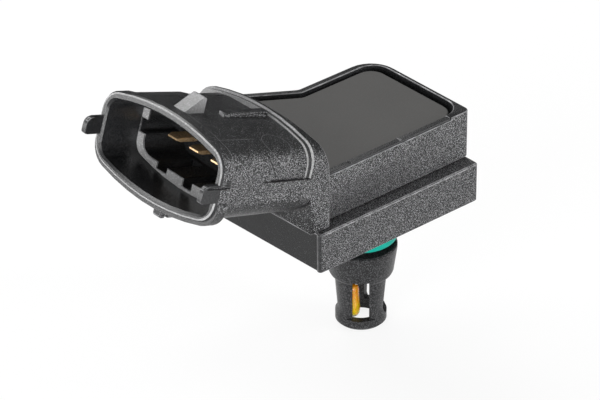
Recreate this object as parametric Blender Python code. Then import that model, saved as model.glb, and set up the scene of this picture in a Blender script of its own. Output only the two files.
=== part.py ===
# Manifold absolute pressure sensor with an air temperature probe.
#
# The frame is in metres with +Z up. The origin is on the axis of the pressure port, in the plane
# that seats on the manifold. The port hangs below that plane, the connector points to -X and is
# tilted up, and the mounting ear reaches to +Y.

from math import asin, atan, atan2, ceil, cos, pi, radians, sin, sqrt, tan

import bmesh
import bpy
from mathutils import Matrix, Vector

MM = 0.001

# Clearances
FIT_GAP = 0.3 * MM              # between pieces that seat on or in each other
CUT_OVER = 1.0 * MM             # how far a cutter runs past the face that it opens
WELD = 0.003 * MM               # corners closer than this are one corner
FLATNESS = 0.0003 * MM          # a face bent by less than this counts as flat
SHY = 0.05 * MM                 # keeps two faces that meet from lying in one plane

# Base: the moulded flange that carries the port
BASE_LEFT = -23.5 * MM
BASE_RIGHT = 13.9 * MM
BASE_HALF_WIDTH = 14.75 * MM
BASE_HEIGHT = 7.4 * MM
BASE_CORNER = 0.6 * MM
BASE_EDGE = 0.25 * MM
PLATEAU_HEIGHT = 1.2 * MM       # the raised floor that locates the housing and carries the board

# Mounting ear with its metal compression bush
EAR_X = -15.5 * MM
EAR_Y = 26.0 * MM
EAR_RADIUS = 8.0 * MM
EAR_WEB_END = -2.0 * MM         # where the ear's web meets the base's back face
BUSH_RADIUS = 5.0 * MM
BUSH_BORE = 3.3 * MM
BUSH_PROUD = 0.2 * MM
BUSH_CHAMFER = 0.4 * MM

# Pressure port and its cage
PORT_RADIUS = 6.2 * MM
GROOVE_TOP = 6.1 * MM           # depths below the seating plane
GROOVE_BOTTOM = 9.5 * MM
GROOVE_RADIUS = 4.1 * MM
LIP_RADIUS = 6.4 * MM
LIP_HEIGHT = 1.0 * MM
LIP_EDGE = 0.25 * MM
BARREL_END = 14.2 * MM
BARREL_END_RADIUS = 5.88 * MM
CAGE_TOP = 15.85 * MM
CAGE_TOP_RADIUS = 4.7 * MM
CAGE_LOW = 22.5 * MM
CAGE_LOW_RADIUS = 4.15 * MM
RING_TOP = 23.5 * MM
RING_RADIUS = 4.57 * MM
RING_EDGE = 0.45 * MM
PORT_END = 25.45 * MM
CAGE_BORE = 3.2 * MM
CAGE_ROOF = 14.8 * MM           # the cage's bore and its windows reach up to this depth
WINDOW_WIDTH = 2.95 * MM
WINDOW_DIRECTION = radians(227.6)
WINDOW_FLAT = 3.68 * MM         # the two legs beside the front window share a flat at this radius
SIDE_WINDOW_WIDTH = 3.0 * MM
SIDE_WINDOW_TURN = radians(90)  # from the front window
FAR_WINDOW_WIDTH = 2.0 * MM
FAR_WINDOW_TURN = radians(-105)
REAR_LEG_WIDTH = 1.9 * MM
REAR_WINDOW_WIDTH = 2.0 * MM
BOSS_RADIUS = 0.85 * MM         # round boss above the front window
BOSS_DEPTH = 13.95 * MM
BOSS_FACE = 5.98 * MM
PRESSURE_BORE = 0.9 * MM
PRESSURE_BORE_X = 1.9 * MM

# O-ring
O_RING_SECTION = 1.05 * MM      # radius of the ring's section

# Thermistor
BEAD_X = -1.75 * MM
BEAD_RADIUS = 1.17 * MM
BEAD_TOP_RADIUS = 0.98 * MM
BEAD_TIP_RADIUS = 0.35 * MM     # small flat at the bead's lowest point
BEAD_LENGTH = 6.7 * MM
BEAD_END = 24.4 * MM
LEAD_RADIUS = 0.25 * MM
LEAD_SPACING = 1.3 * MM
LEAD_STAND = 0.9 * MM           # how far the leads stand above the board

# Housing: the upper block
HOUSING_GAP = 0.5 * MM          # the joint that shows as a dark line above the base
HOUSING_HALF_WIDTH = 12.4 * MM
HOUSING_TOP = 16.9 * MM
HOUSING_CORNER = 1.0 * MM
HOUSING_REAR_CORNER = 5.0 * MM
FLARE_START_X = -3.5 * MM       # the back wall turns outwards here
FLARE_END_X = -12.3 * MM
FLARE_WIDTH = 5.7 * MM
FLARE_CORNER = 1.5 * MM
LIP_STEP = 0.5 * MM             # the raised lip round the cover
LIP_SETBACK = 0.28 * MM
FRONT_LIP_DROP = 0.2 * MM       # the front lip is this much lower than the other three
FRONT_LIP = 1.35 * MM           # wall between the outer face and the cover's recess
SIDE_LIP = 0.7 * MM
REAR_LIP = 1.2 * MM
RECESS_CORNER = 3.6 * MM
SEAT_WALL = 3.2 * MM            # wall below the cover, down to the joint
SHELF_WIDTH = 2.2 * MM          # behind the neck, above the terminals
SHELF_REACH = 0.6 * MM          # how far the terminals' shelf runs past their ends
TICK_FIRST_X = -13.3 * MM
TICK_PITCH = 11.3 * MM
TICK_COUNT = 3
TICK_WIDTH = 0.35 * MM

# Cover
COVER_SINK = 0.55 * MM
COVER_THICKNESS = 1.1 * MM
COVER_GROOVE = 1.15 * MM        # open groove at the right
COVER_REAR_GROOVE = 0.6 * MM
COVER_FRONT_GROOVE = 0.35 * MM
COVER_EDGE = 0.15 * MM
COVER_CORNER = 2.9 * MM
SEAL_THICKNESS = 0.4 * MM
SEAL_WIDTH = 0.8 * MM
SEAL_REACH = 1.2 * MM           # from the chamber's walls to the seal's outer edge

# Joint seal between base and housing
JOINT_SEAL_WIDTH = 0.6 * MM
JOINT_SEAL_DEPTH = 0.9 * MM
JOINT_SEAL_PROUD = 0.3 * MM     # above the base's top face
CHANNEL_SETBACK = 0.9 * MM      # from the housing's face to the seal's channel

# Connector shroud: a tube whose axis falls towards the housing
SHROUD_PITCH = radians(18.3)
MOUTH_X = -44.55 * MM           # centre of the mouth
MOUTH_Z = 25.1 * MM
SHROUD_HALF_WIDTH = 15.5 * MM
SHROUD_HALF_HEIGHT = 8.05 * MM
SHROUD_CROWN = 48.0 * MM        # radius of the crowned top and bottom
SHROUD_CORNER = 4.0 * MM
UPPER_DRAFT = 0.056             # how much each side closes in, for each unit of length
LOWER_DRAFT = 0.022
CROWN_DRAFT = 0.02
PARTING_HEIGHT = 0.8 * MM       # the two drafts meet in a ledge at this height
SHROUD_WALL = 1.5 * MM
BAND_LENGTH = 2.8 * MM
BAND_PROUD = 0.28 * MM
BAND_SLOPE = 0.25 * MM          # length of the band's sloping rear edge
RIM_EDGE = 0.45 * MM
RIM_ROUND = 0.12 * MM           # the rim's edge is broken in two steps, the first at this depth
UNDER_BAND_START = 0.5 * MM     # thicker band round the lower half of the mouth
UNDER_BAND_END = 2.6 * MM
UNDER_BAND_HEIGHT = -2.2 * MM   # its arms end at this height
UNDER_BAND_WIDEN = 0.25 * MM
UNDER_BAND_DROP = 0.7 * MM
LOWER_START = 2.3 * MM
CAVITY_DEPTH = 8.0 * MM         # from the rim to the grey step
MOUTH_CHAMFER = 0.35 * MM
MOUTH_SAG = 0.35 * MM           # the hollow's lower half is this much deeper
SOCKET_HALF_WIDTH = 12.2 * MM
SOCKET_HALF_HEIGHT = 4.85 * MM
SOCKET_CROWN = 150.0 * MM
SOCKET_CORNER = 2.2 * MM
KEYWAY_FAR = 6.5 * MM           # centre of the far keyway in the socket's floor
KEYWAY_FAR_WIDTH = 2.4 * MM
KEYWAY_FAR_DEPTH = 0.95 * MM
KEYWAY_MIDDLE = -0.2 * MM
KEYWAY_MIDDLE_WIDTH = 2.2 * MM
KEYWAY_MIDDLE_DEPTH = 1.35 * MM
KEYWAY_SIDE = -0.3 * MM         # height of the two side keyways' centre
KEYWAY_SIDE_WIDTH = 2.4 * MM
KEYWAY_SIDE_DEPTH = 1.5 * MM
SOCKET_DEPTH = 17.0 * MM

# Collar at the shroud's rear
COLLAR_AT = 19.9 * MM
COLLAR_STEP = 0.7 * MM
COLLAR_LENGTH = 1.6 * MM
COLLAR_PROUD = 0.75 * MM
COLLAR_FRONT_PROUD = 0.38 * MM  # its front step
COLLAR_ROOT = 0.3 * MM          # how far it is rooted in the shroud
COLLAR_EDGE = 0.12 * MM
COLLAR_LOW = 1.0 * MM           # the collar's arms end at this height on the sides

# Neck: the wall behind the collar
NECK_LEFT = -23.9 * MM
NECK_RIGHT = -19.7 * MM
NECK_STEP = 0.1 * MM            # the neck is this much slimmer than the shroud's rear, on each side
NECK_DROP = 0.35 * MM

# Keys, latch and rails of the shroud
KEY_LENGTH = 3.35 * MM
KEY_TOP = 1.05 * MM             # heights from the shroud's axis
KEY_LOW = -1.95 * MM
KEY_TOP_CORNER = 1.3 * MM
KEY_LOW_CORNER = 0.5 * MM
KEY_THICKNESS = 1.1 * MM
LUG_START = 2.5 * MM
LUG_TOP = 6.35 * MM
LUG_END = 7.0 * MM
LUG_HEIGHT = 10.5 * MM          # above the shroud's axis
LUG_HALF_WIDTH = 1.4 * MM
LUG_CENTRE = 0.2 * MM
LUG_FRONT_HEIGHT = 7.95 * MM    # where its slope starts
LUG_REAR_DROP = 0.25 * MM
ROOT_HEIGHT = 5.6 * MM          # lug, rail and foot are rooted this far from the shroud's axis
RAIL_START = 9.8 * MM
RAIL_END = 19.4 * MM
RAIL_INNER = -1.6 * MM
RAIL_WIDTH = 1.5 * MM
RAIL_TOP = 8.2 * MM
PAD_FLOOR = 6.9 * MM            # flat floor behind the latch lug
PAD_START = 8.6 * MM
RELIEF_START = 13.2 * MM        # cut-back of the far shoulder
RELIEF_INNER = 8.8 * MM
RELIEF_LOW = 3.6 * MM
FOOT_START = 1.1 * MM
FOOT_END = 6.2 * MM
FOOT_CENTRE = -1.75 * MM
FOOT_WIDTH = 1.9 * MM
FOOT_LOW = 10.1 * MM
FOOT_EDGE = 0.3 * MM
FOOT_SLOPE = 1.5 * MM
FOOT_REAR_HEIGHT = 7.65 * MM
FOOT_SLOT_DEPTH = 0.5 * MM
FOOT_SLOT_AT = 2.2 * MM
FOOT_SLOT = 0.6 * MM
FRONT_SLIT_START = 2.4 * MM     # in front of the rim, across the keys
FRONT_SLIT_END = 6.5 * MM
REAR_SLIT_START = 12.0 * MM
SLIT_HEIGHT = 0.35 * MM
SLIT_DEPTH = 0.15 * MM

# Terminals
TERMINAL_PITCH = 5.58 * MM
TERMINAL_COUNT = 4
TERMINAL_WIDTH = 2.8 * MM
TERMINAL_THICKNESS = 0.8 * MM
TERMINAL_TIP = 10.6 * MM        # depth of the tips from the rim
TERMINAL_OFFSET = -0.65 * MM    # from the shroud's axis
TERMINAL_DROP_X = -22.0 * MM
TERMINAL_LOW_Z = 11.4 * MM
TERMINAL_END_X = -14.0 * MM
TERMINAL_BEND = 1.1 * MM
TERMINAL_POINT = 0.8 * MM       # length of the tapered tip
TERMINAL_TIP_THINNING = 0.24 * MM
TERMINAL_TIP_NARROWING = 0.5 * MM

# Circuit board and what it carries
BOARD_SETBACK = 0.6 * MM        # from the chamber's walls to the board's edge
BOARD_THICKNESS = 0.8 * MM
DIE_SIZE = 1.8 * MM
DIE_THICKNESS = 0.5 * MM
PEDESTAL_SIZE = 2.4 * MM
PEDESTAL_HEIGHT = 0.8 * MM
FRAME_SIZE = 5.6 * MM
FRAME_WALL = 0.4 * MM
FRAME_HEIGHT = 2.6 * MM
GEL_TOP = 0.4 * MM              # gel surface below the frame's top
CHIP_X = 7.3 * MM
CHIP_SIZE = 4.0 * MM
CHIP_HEIGHT = 0.9 * MM
CAPACITOR_X = -6.6 * MM
CAPACITOR_LENGTH = 2.0 * MM
CAPACITOR_WIDTH = 1.25 * MM
CAPACITOR_HEIGHT = 0.9 * MM
RIBBON_WIDTH = 1.0 * MM
RIBBON_THICKNESS = 0.3 * MM
RIBBON_RISE = 0.9 * MM
RIBBON_FOOT = 1.0 * MM
RIBBON_BEND = 0.4 * MM
RIBBON_EDGE = 1.1 * MM          # from the board's edge to the outer ribbon's centre
CAPACITOR_EDGE = 1.9 * MM

# Facets
ROUND_STEPS = 48
BORE_STEPS = 32
SMALL_BORE_STEPS = 20
WIRE_STEPS = 12
CORNER_STEPS = 6
CROWN_STEPS = 3
EAR_STEPS = 14
SMALL_CORNER = 2.0 * MM         # plan corners smaller than this get fewer facets
SMALL_CORNER_STEPS = 3
LARGE_CORNER_STEPS = 7
LEAST_CORNER = 0.2 * MM
SECTION_STEPS = 14
SHOULDER_STEPS = 4
BEAD_STEPS = 24
END_STEPS = 4


for old in list(bpy.data.objects):
    bpy.data.objects.remove(old, do_unlink=True)


# Materials

def finish(name, colour, roughness, metallic=0.0):
    material = bpy.data.materials.new(name)
    material.use_nodes = True
    shader = material.node_tree.nodes["Principled BSDF"]
    shader.inputs["Base Color"].default_value = (*colour, 1.0)
    shader.inputs["Roughness"].default_value = roughness
    shader.inputs["Metallic"].default_value = metallic
    material.diffuse_color = (*colour, 1.0)
    return material


housing_black = finish("housing_black", (0.030, 0.031, 0.032), 0.5)
base_black = finish("base_black", (0.034, 0.034, 0.036), 0.55)
cover_grey = finish("cover_grey", (0.10, 0.10, 0.095), 0.6)
seal_black = finish("seal_black", (0.02, 0.02, 0.02), 0.8)
ring_teal = finish("ring_teal", (0.0, 0.42, 0.34), 0.45)
bush_steel = finish("bush_steel", (0.62, 0.60, 0.56), 0.3, 1.0)
pin_gold = finish("pin_gold", (0.86, 0.62, 0.28), 0.25, 1.0)
ribbon_metal = finish("ribbon_metal", (0.75, 0.76, 0.78), 0.3, 1.0)
board_white = finish("board_white", (0.75, 0.74, 0.70), 0.6)
die_silicon = finish("die_silicon", (0.10, 0.11, 0.14), 0.2, 0.6)
pedestal_glass = finish("pedestal_glass", (0.75, 0.80, 0.80), 0.1)
gel_clear = finish("gel_clear", (0.70, 0.75, 0.72), 0.15)
frame_dark = finish("frame_dark", (0.05, 0.05, 0.05), 0.6)
chip_dark = finish("chip_dark", (0.02, 0.02, 0.02), 0.4)
capacitor_tan = finish("capacitor_tan", (0.42, 0.30, 0.18), 0.5)
bead_amber = finish("bead_amber", (0.90, 0.48, 0.02), 0.25)
lead_tinned = finish("lead_tinned", (0.70, 0.70, 0.70), 0.3, 1.0)


# Mesh helpers

def is_twisted(face):
    """True for a face whose corners don't lie in one plane."""
    middle = face.calc_center_median()
    return any(abs((v.co - middle).dot(face.normal)) > FLATNESS for v in face.verts)


def mesh_object(name, points, faces, material=None):
    mesh = bpy.data.meshes.new(name)
    mesh.from_pydata([tuple(p) for p in points], [], faces)
    mesh.validate()
    work = bmesh.new()
    work.from_mesh(mesh)
    bmesh.ops.recalc_face_normals(work, faces=work.faces)
    bmesh.ops.triangulate(work, faces=[f for f in work.faces if is_twisted(f)])
    work.to_mesh(mesh)
    work.free()
    made = bpy.data.objects.new(name, mesh)
    bpy.context.scene.collection.objects.link(made)
    if material is not None:
        mesh.materials.append(material)
    return made


def loft(name, rings, material=None):
    """A closed solid through rings of equal length, capped at both ends."""
    count = len(rings[0])
    points = [p for ring in rings for p in ring]
    faces = [tuple(range(count))[::-1]]
    for level in range(len(rings) - 1):
        low = level * count
        high = low + count
        for i in range(count):
            j = (i + 1) % count
            faces.append((low + i, low + j, high + j, high + i))
    last = (len(rings) - 1) * count
    faces.append(tuple(last + i for i in range(count)))
    return mesh_object(name, points, faces, material)


def prism(name, outline, low, high, material=None, edge=0.0):
    """A plan outline raised from low to high, with a chamfer round its top if edge is given."""
    rings = [[(x, y, low) for x, y in outline]]
    if edge > 0.0:
        rings.append([(x, y, high - edge) for x, y in outline])
        rings.append([(x, y, high) for x, y in inset(outline, edge)])
    else:
        rings.append([(x, y, high) for x, y in outline])
    return loft(name, rings, material)


def turned(name, profile, material=None, steps=ROUND_STEPS, centre=(0.0, 0.0)):
    """A closed (radius, height) profile turned about a vertical axis."""
    points = []
    for radius, height in profile:
        for k in range(steps):
            angle = 2 * pi * k / steps
            points.append((centre[0] + radius * cos(angle), centre[1] + radius * sin(angle), height))
    faces = []
    rows = len(profile)
    for row in range(rows):
        after = (row + 1) % rows
        for k in range(steps):
            nxt = (k + 1) % steps
            faces.append((row * steps + k, row * steps + nxt, after * steps + nxt, after * steps + k))
    return mesh_object(name, points, faces, material)


def disc_stack(name, profile, material=None, steps=ROUND_STEPS, centre=(0.0, 0.0)):
    """A solid of round slices, from (radius, height) pairs listed from one end to the other."""
    rings = []
    for radius, height in profile:
        rings.append([(centre[0] + radius * cos(2 * pi * k / steps),
                       centre[1] + radius * sin(2 * pi * k / steps), height) for k in range(steps)])
    return loft(name, rings, material)


def box(name, low, high, material=None):
    outline = [(low[0], low[1]), (high[0], low[1]), (high[0], high[1]), (low[0], high[1])]
    return prism(name, outline, low[2], high[2], material)


def inset(outline, distance):
    """Moves each side of a counter-clockwise outline inwards by distance."""
    moved = []
    count = len(outline)
    for i in range(count):
        before = Vector(outline[i - 1])
        here = Vector(outline[i])
        after = Vector(outline[(i + 1) % count])
        first = (here - before).normalized()
        second = (after - here).normalized()
        normal = Vector((-first.y - second.y, first.x + second.x))
        scale = 1.0 + first.dot(second)
        moved.append(tuple(here + normal * (distance / scale)))
    return moved


def shrunk(corners, distance):
    """The same rounded polygon with every side moved inwards, for offsets wider than a corner."""
    moved = inset([(x, y) for x, y, _ in corners], distance)
    result = []
    for i, (x, y) in enumerate(moved):
        before = Vector(corners[i][:2]) - Vector(corners[i - 1][:2])
        after = Vector(corners[(i + 1) % len(corners)][:2]) - Vector(corners[i][:2])
        convex = before.x * after.y - before.y * after.x > 0
        radius = corners[i][2] + (-distance if convex else distance)
        result.append((x, y, max(radius, LEAST_CORNER)))
    return result


def rounded(corners, steps_per_quarter=None):
    """Plan points of a counter-clockwise polygon of (x, y, radius) corners."""
    points = []
    count = len(corners)
    for i, (x, y, radius) in enumerate(corners):
        here = Vector((x, y))
        if radius <= 0.0:
            points.append((x, y))
            continue
        before = (Vector(corners[i - 1][:2]) - here).normalized()
        after = (Vector(corners[(i + 1) % count][:2]) - here).normalized()
        half = 0.5 * before.angle(after)
        reach = radius * cos(half) / sin(half)
        centre = here + (before + after).normalized() * (radius / sin(half))
        start = here + before * reach - centre
        sweep = pi - 2 * half
        turn = 1.0 if before.x * after.y - before.y * after.x < 0 else -1.0
        fine = steps_per_quarter or (SMALL_CORNER_STEPS if radius < SMALL_CORNER else LARGE_CORNER_STEPS)
        steps = max(2, ceil(sweep / (pi / 2) * fine))
        for k in range(steps + 1):
            points.append(tuple(centre + Matrix.Rotation(turn * sweep * k / steps, 2) @ start))
    return points


def weld(target):
    """Joins corners that a Boolean left a hair apart, and drops the slivers between them."""
    work = bmesh.new()
    work.from_mesh(target.data)
    bmesh.ops.remove_doubles(work, verts=work.verts, dist=WELD)
    bmesh.ops.dissolve_degenerate(work, edges=work.edges, dist=WELD)
    bmesh.ops.triangulate(work, faces=[f for f in work.faces if is_twisted(f)])
    work.to_mesh(target.data)
    work.free()


def combine(target, tool, operation):
    step = target.modifiers.new(operation.lower(), "BOOLEAN")
    step.operation = operation
    step.solver = "EXACT"
    step.object = tool
    bpy.context.view_layer.update()
    evaluated = target.evaluated_get(bpy.context.evaluated_depsgraph_get())
    result = bpy.data.meshes.new_from_object(evaluated)
    target.modifiers.clear()
    target.data = result
    weld(target)
    bpy.data.objects.remove(tool, do_unlink=True)


def cut(target, *tools):
    for tool in tools:
        combine(target, tool, "DIFFERENCE")


def add(target, *tools):
    for tool in tools:
        combine(target, tool, "UNION")


def tidy(target, smooth_angle=radians(32)):
    work = bmesh.new()
    work.from_mesh(target.data)
    bmesh.ops.remove_doubles(work, verts=work.verts, dist=WELD)
    bmesh.ops.dissolve_limit(work, angle_limit=radians(0.2), verts=work.verts, edges=work.edges)
    work.to_mesh(target.data)
    work.free()
    target.data.shade_smooth()
    target.data.set_sharp_from_angle(angle=smooth_angle)


# The shroud's own frame: s runs from the mouth into the housing, l to +Y, u away from the axis

SHROUD_AXIS = Vector((cos(SHROUD_PITCH), 0.0, -sin(SHROUD_PITCH)))
SHROUD_UP = Vector((sin(SHROUD_PITCH), 0.0, cos(SHROUD_PITCH)))
MOUTH = Vector((MOUTH_X, 0.0, MOUTH_Z))


def in_shroud(s, l, u):
    return MOUTH + SHROUD_AXIS * s + Vector((0.0, l, 0.0)) + SHROUD_UP * u


def shroud_outline(half_width, half_height, crown=None, corner=None):
    """Counter-clockwise (l, u) section: straight sides, rounded corners, crowned top and bottom."""
    crown = SHROUD_CROWN if crown is None else crown
    corner = SHROUD_CORNER if corner is None else corner
    across = half_width - corner
    rise = sqrt((crown - corner) ** 2 - across ** 2)
    height = half_height - crown + rise
    turn = pi / 2 - asin(across / (crown - corner))
    quarter = []
    for k in range(CORNER_STEPS + 1):
        angle = turn * k / CORNER_STEPS
        quarter.append((across + corner * cos(angle), height + corner * sin(angle)))
    for k in range(1, CROWN_STEPS + 1):
        angle = turn + (pi / 2 - turn) * k / (CROWN_STEPS + 0.5)
        quarter.append((crown * cos(angle), half_height - crown + crown * sin(angle)))
    left = [(-l, u) for l, u in reversed(quarter)]
    below = [(-l, -u) for l, u in quarter]
    right = [(l, -u) for l, u in reversed(quarter)]
    return quarter + left + below + right


def shroud_ring(s, half_width, half_height, crown=None, corner=None):
    return [in_shroud(s, l, u) for l, u in shroud_outline(half_width, half_height, crown, corner)]


def upper_size(s, proud=0.0):
    """Half width and half height of the shroud's upper half at s."""
    return (SHROUD_HALF_WIDTH - BAND_PROUD - UPPER_DRAFT * max(s - BAND_LENGTH, 0.0) + proud,
            SHROUD_HALF_HEIGHT - BAND_PROUD - CROWN_DRAFT * max(s - BAND_LENGTH, 0.0) + proud)


def lower_size(s):
    """Half width and half height of the lower half, which closes in more slowly."""
    return (SHROUD_HALF_WIDTH - BAND_PROUD - LOWER_DRAFT * max(s - BAND_LENGTH, 0.0),
            SHROUD_HALF_HEIGHT - BAND_PROUD - CROWN_DRAFT * max(s - BAND_LENGTH, 0.0))


def end_ring(section, x):
    """The section run along the shroud's axis to an upright plane."""
    points = []
    for l, u in section:
        s = (x - MOUTH_X - u * sin(SHROUD_PITCH)) / cos(SHROUD_PITCH)
        points.append(in_shroud(s, l, u))
    return points


def shroud_box(name, s, l, u):
    """A block in the shroud's frame from three (low, high) pairs."""
    rings = []
    for along in s:
        rings.append([in_shroud(along, l[0], u[0]), in_shroud(along, l[1], u[0]),
                      in_shroud(along, l[1], u[1]), in_shroud(along, l[0], u[1])])
    return loft(name, rings)


def shroud_profile(name, outline, l):
    """An (s, u) outline run from one lateral position to the other."""
    return loft(name, [[in_shroud(s, across, u) for s, u in outline] for across in l])


# Plan outlines

def base_plan():
    run = Vector((EAR_X - EAR_WEB_END, EAR_Y - BASE_HALF_WIDTH))
    heading = atan2(run.y, run.x) - asin(EAR_RADIUS / run.length)
    start = heading - pi / 2
    ear = []
    for k in range(EAR_STEPS + 1):
        angle = start + (pi - start) * k / EAR_STEPS
        ear.append((EAR_X + EAR_RADIUS * cos(angle), EAR_Y + EAR_RADIUS * sin(angle)))
    body = rounded([(BASE_LEFT, -BASE_HALF_WIDTH, BASE_CORNER),
                    (BASE_RIGHT, -BASE_HALF_WIDTH, BASE_CORNER),
                    (BASE_RIGHT, BASE_HALF_WIDTH, BASE_CORNER)])
    return body + [(EAR_WEB_END, BASE_HALF_WIDTH)] + ear


HOUSING_CORNERS = [(BASE_LEFT, -HOUSING_HALF_WIDTH, 0.0),
                   (BASE_RIGHT, -HOUSING_HALF_WIDTH, HOUSING_CORNER),
                   (BASE_RIGHT, HOUSING_HALF_WIDTH, HOUSING_REAR_CORNER),
                   (FLARE_START_X, HOUSING_HALF_WIDTH, FLARE_CORNER),
                   (FLARE_END_X, HOUSING_HALF_WIDTH + FLARE_WIDTH, FLARE_CORNER),
                   (BASE_LEFT, HOUSING_HALF_WIDTH + FLARE_WIDTH, HOUSING_CORNER)]


def joint_plan(distance):
    """A line round the joint, a fixed distance inside the housing's outer face."""
    return rounded(shrunk(HOUSING_CORNERS, distance), SMALL_CORNER_STEPS)


def lidded_plan(west, front, side, rear, corner):
    """The block's plan seen from above, each side set back by its own distance."""
    south = -HOUSING_HALF_WIDTH + front
    east = BASE_RIGHT - side
    north = HOUSING_HALF_WIDTH - rear
    slope = FLARE_WIDTH / (FLARE_START_X - FLARE_END_X)
    shift = rear * tan(0.5 * atan(slope))
    return rounded([(west, south, 0.0), (east, south, corner), (east, north, corner),
                    (FLARE_START_X - shift, north, FLARE_CORNER),
                    (FLARE_END_X - shift, north + FLARE_WIDTH, FLARE_CORNER),
                    (west, north + FLARE_WIDTH, 0.0)])


def recess_plan():
    return lidded_plan(NECK_RIGHT, FRONT_LIP, SIDE_LIP, REAR_LIP, RECESS_CORNER)


def cover_plan():
    return lidded_plan(NECK_RIGHT + FIT_GAP, FRONT_LIP + COVER_FRONT_GROOVE, SIDE_LIP + COVER_GROOVE,
                       REAR_LIP + COVER_REAR_GROOVE, COVER_CORNER)


def ring_prism(name, outer, inner, low, high, material):
    """A closed band between two plan outlines of equal length."""
    count = len(outer)
    points = []
    for outline, height in ((outer, low), (outer, high), (inner, high), (inner, low)):
        points += [(x, y, height) for x, y in outline]
    faces = []
    for level in range(4):
        for i in range(count):
            j = (i + 1) % count
            above = (level + 1) % 4
            faces.append((level * count + i, level * count + j, above * count + j, above * count + i))
    return mesh_object(name, points, faces, material)


def strip(name, path, half_thickness, y_low, y_high, material=None, overrun=0.0):
    """A flat strip bent along an (x, z) path, from one lateral position to the other."""
    path = [Vector(p) for p in path]
    if overrun:
        path[0] = path[0] + (path[0] - path[1]).normalized() * overrun
        path[-1] = path[-1] + (path[-1] - path[-2]).normalized() * overrun
    above, below = [], []
    for i, here in enumerate(path):
        before = (here - path[i - 1]).normalized() if i else (path[1] - here).normalized()
        after = (path[i + 1] - here).normalized() if i < len(path) - 1 else before
        normal = Vector((-before.y - after.y, before.x + after.x)) / (1.0 + before.dot(after))
        above.append(here + normal * half_thickness)
        below.append(here - normal * half_thickness)
    outline = above + below[::-1]
    return loft(name, [[(p.x, y, p.y) for p in outline] for y in (y_low, y_high)], material)


def bent(corners, radius, steps=3):
    """An open (x, z) path with each inner corner rounded."""
    path = [Vector(corners[0])]
    for i in range(1, len(corners) - 1):
        here = Vector(corners[i])
        before = (Vector(corners[i - 1]) - here).normalized()
        after = (Vector(corners[i + 1]) - here).normalized()
        half = 0.5 * before.angle(after)
        reach = radius / (sin(half) / cos(half))
        start = here + before * reach
        end = here + after * reach
        for k in range(steps + 1):
            t = k / steps
            path.append(start * (1 - t) ** 2 + here * (2 * t * (1 - t)) + end * t ** 2)
    path.append(Vector(corners[-1]))
    return path


# Terminals

def terminal_path():
    tip = in_shroud(TERMINAL_TIP, 0.0, TERMINAL_OFFSET)
    drop = (TERMINAL_DROP_X - MOUTH_X - TERMINAL_OFFSET * sin(SHROUD_PITCH)) / cos(SHROUD_PITCH)
    knee = in_shroud(drop, 0.0, TERMINAL_OFFSET)
    return bent([(tip.x, tip.z), (knee.x, knee.z), (knee.x, TERMINAL_LOW_Z),
                 (TERMINAL_END_X, TERMINAL_LOW_Z)], TERMINAL_BEND)


def row_y(i, outermost):
    """Lateral place of one piece in a row with as many pieces as there are terminals."""
    middle = 0.5 * (TERMINAL_COUNT - 1)
    return (i - middle) / middle * outermost


def terminal_y(i):
    return row_y(i, 0.5 * (TERMINAL_COUNT - 1) * TERMINAL_PITCH)


def make_terminal(i):
    y = terminal_y(i)
    blade = strip(f"terminal_{i + 1}", terminal_path(), 0.5 * TERMINAL_THICKNESS,
                  y - 0.5 * TERMINAL_WIDTH, y + 0.5 * TERMINAL_WIDTH, pin_gold)
    # The tip is thinned and narrowed so that it finds its socket.
    before = TERMINAL_TIP - CUT_OVER
    behind = TERMINAL_TIP + TERMINAL_POINT
    for side in (-1, 1):
        face = TERMINAL_OFFSET + side * 0.5 * TERMINAL_THICKNESS
        thinned = face - side * TERMINAL_TIP_THINNING
        corner = [(before, thinned), (TERMINAL_TIP, thinned), (behind, face + side * SHY),
                  (behind, face + side * CUT_OVER), (before, face + side * CUT_OVER)]
        cut(blade, shroud_profile("cutter", corner, (y - TERMINAL_WIDTH, y + TERMINAL_WIDTH)))
        edge = y + side * 0.5 * TERMINAL_WIDTH
        narrowed = edge - side * TERMINAL_TIP_NARROWING
        wedge = [(before, narrowed), (TERMINAL_TIP, narrowed), (behind, edge + side * SHY),
                 (behind, edge + side * CUT_OVER), (before, edge + side * CUT_OVER)]
        cut(blade, loft("cutter", [[in_shroud(s, l, TERMINAL_OFFSET + u) for s, l in wedge]
                                   for u in (-TERMINAL_THICKNESS, TERMINAL_THICKNESS)]))
    tidy(blade)
    return blade


for number in range(TERMINAL_COUNT):
    make_terminal(number)


# Housing

COVER_BOTTOM = HOUSING_TOP - COVER_SINK - COVER_THICKNESS
LEDGE_TOP = COVER_BOTTOM - SEAL_THICKNESS - 2 * FIT_GAP
HOUSING_BOTTOM = BASE_HEIGHT + HOUSING_GAP
FLOOR_TOP = BASE_HEIGHT + PLATEAU_HEIGHT
BOARD_BOTTOM = FLOOR_TOP + FIT_GAP
BOARD_TOP = BOARD_BOTTOM + BOARD_THICKNESS
SHELF_TOP = TERMINAL_LOW_Z - 0.5 * TERMINAL_THICKNESS - FIT_GAP
SHELF_LEFT = NECK_RIGHT + SHELF_WIDTH
SHELF_RIGHT = TERMINAL_END_X + SHELF_REACH
CAVITY_FRONT = -HOUSING_HALF_WIDTH + SEAT_WALL
CAVITY_RIGHT = BASE_RIGHT - SEAT_WALL
CAVITY_BACK = HOUSING_HALF_WIDTH - SEAT_WALL
BOARD_LEFT = SHELF_RIGHT + BOARD_SETBACK
BOARD_RIGHT = CAVITY_RIGHT - BOARD_SETBACK
BOARD_HALF_WIDTH = CAVITY_BACK - BOARD_SETBACK


def lower_section(s, top, widen=0.0, drop=0.0):
    """The shroud's section below a height, straight up to it at the sides."""
    half_width, half_height = lower_size(s)
    outline = shroud_outline(half_width + widen, half_height + drop)
    below = [(l, u) for l, u in outline if u < min(top, 0.0)]
    section = [(-half_width - widen, top)] + below + [(half_width + widen, top)]
    return [in_shroud(s, l, u) for l, u in section]


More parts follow.
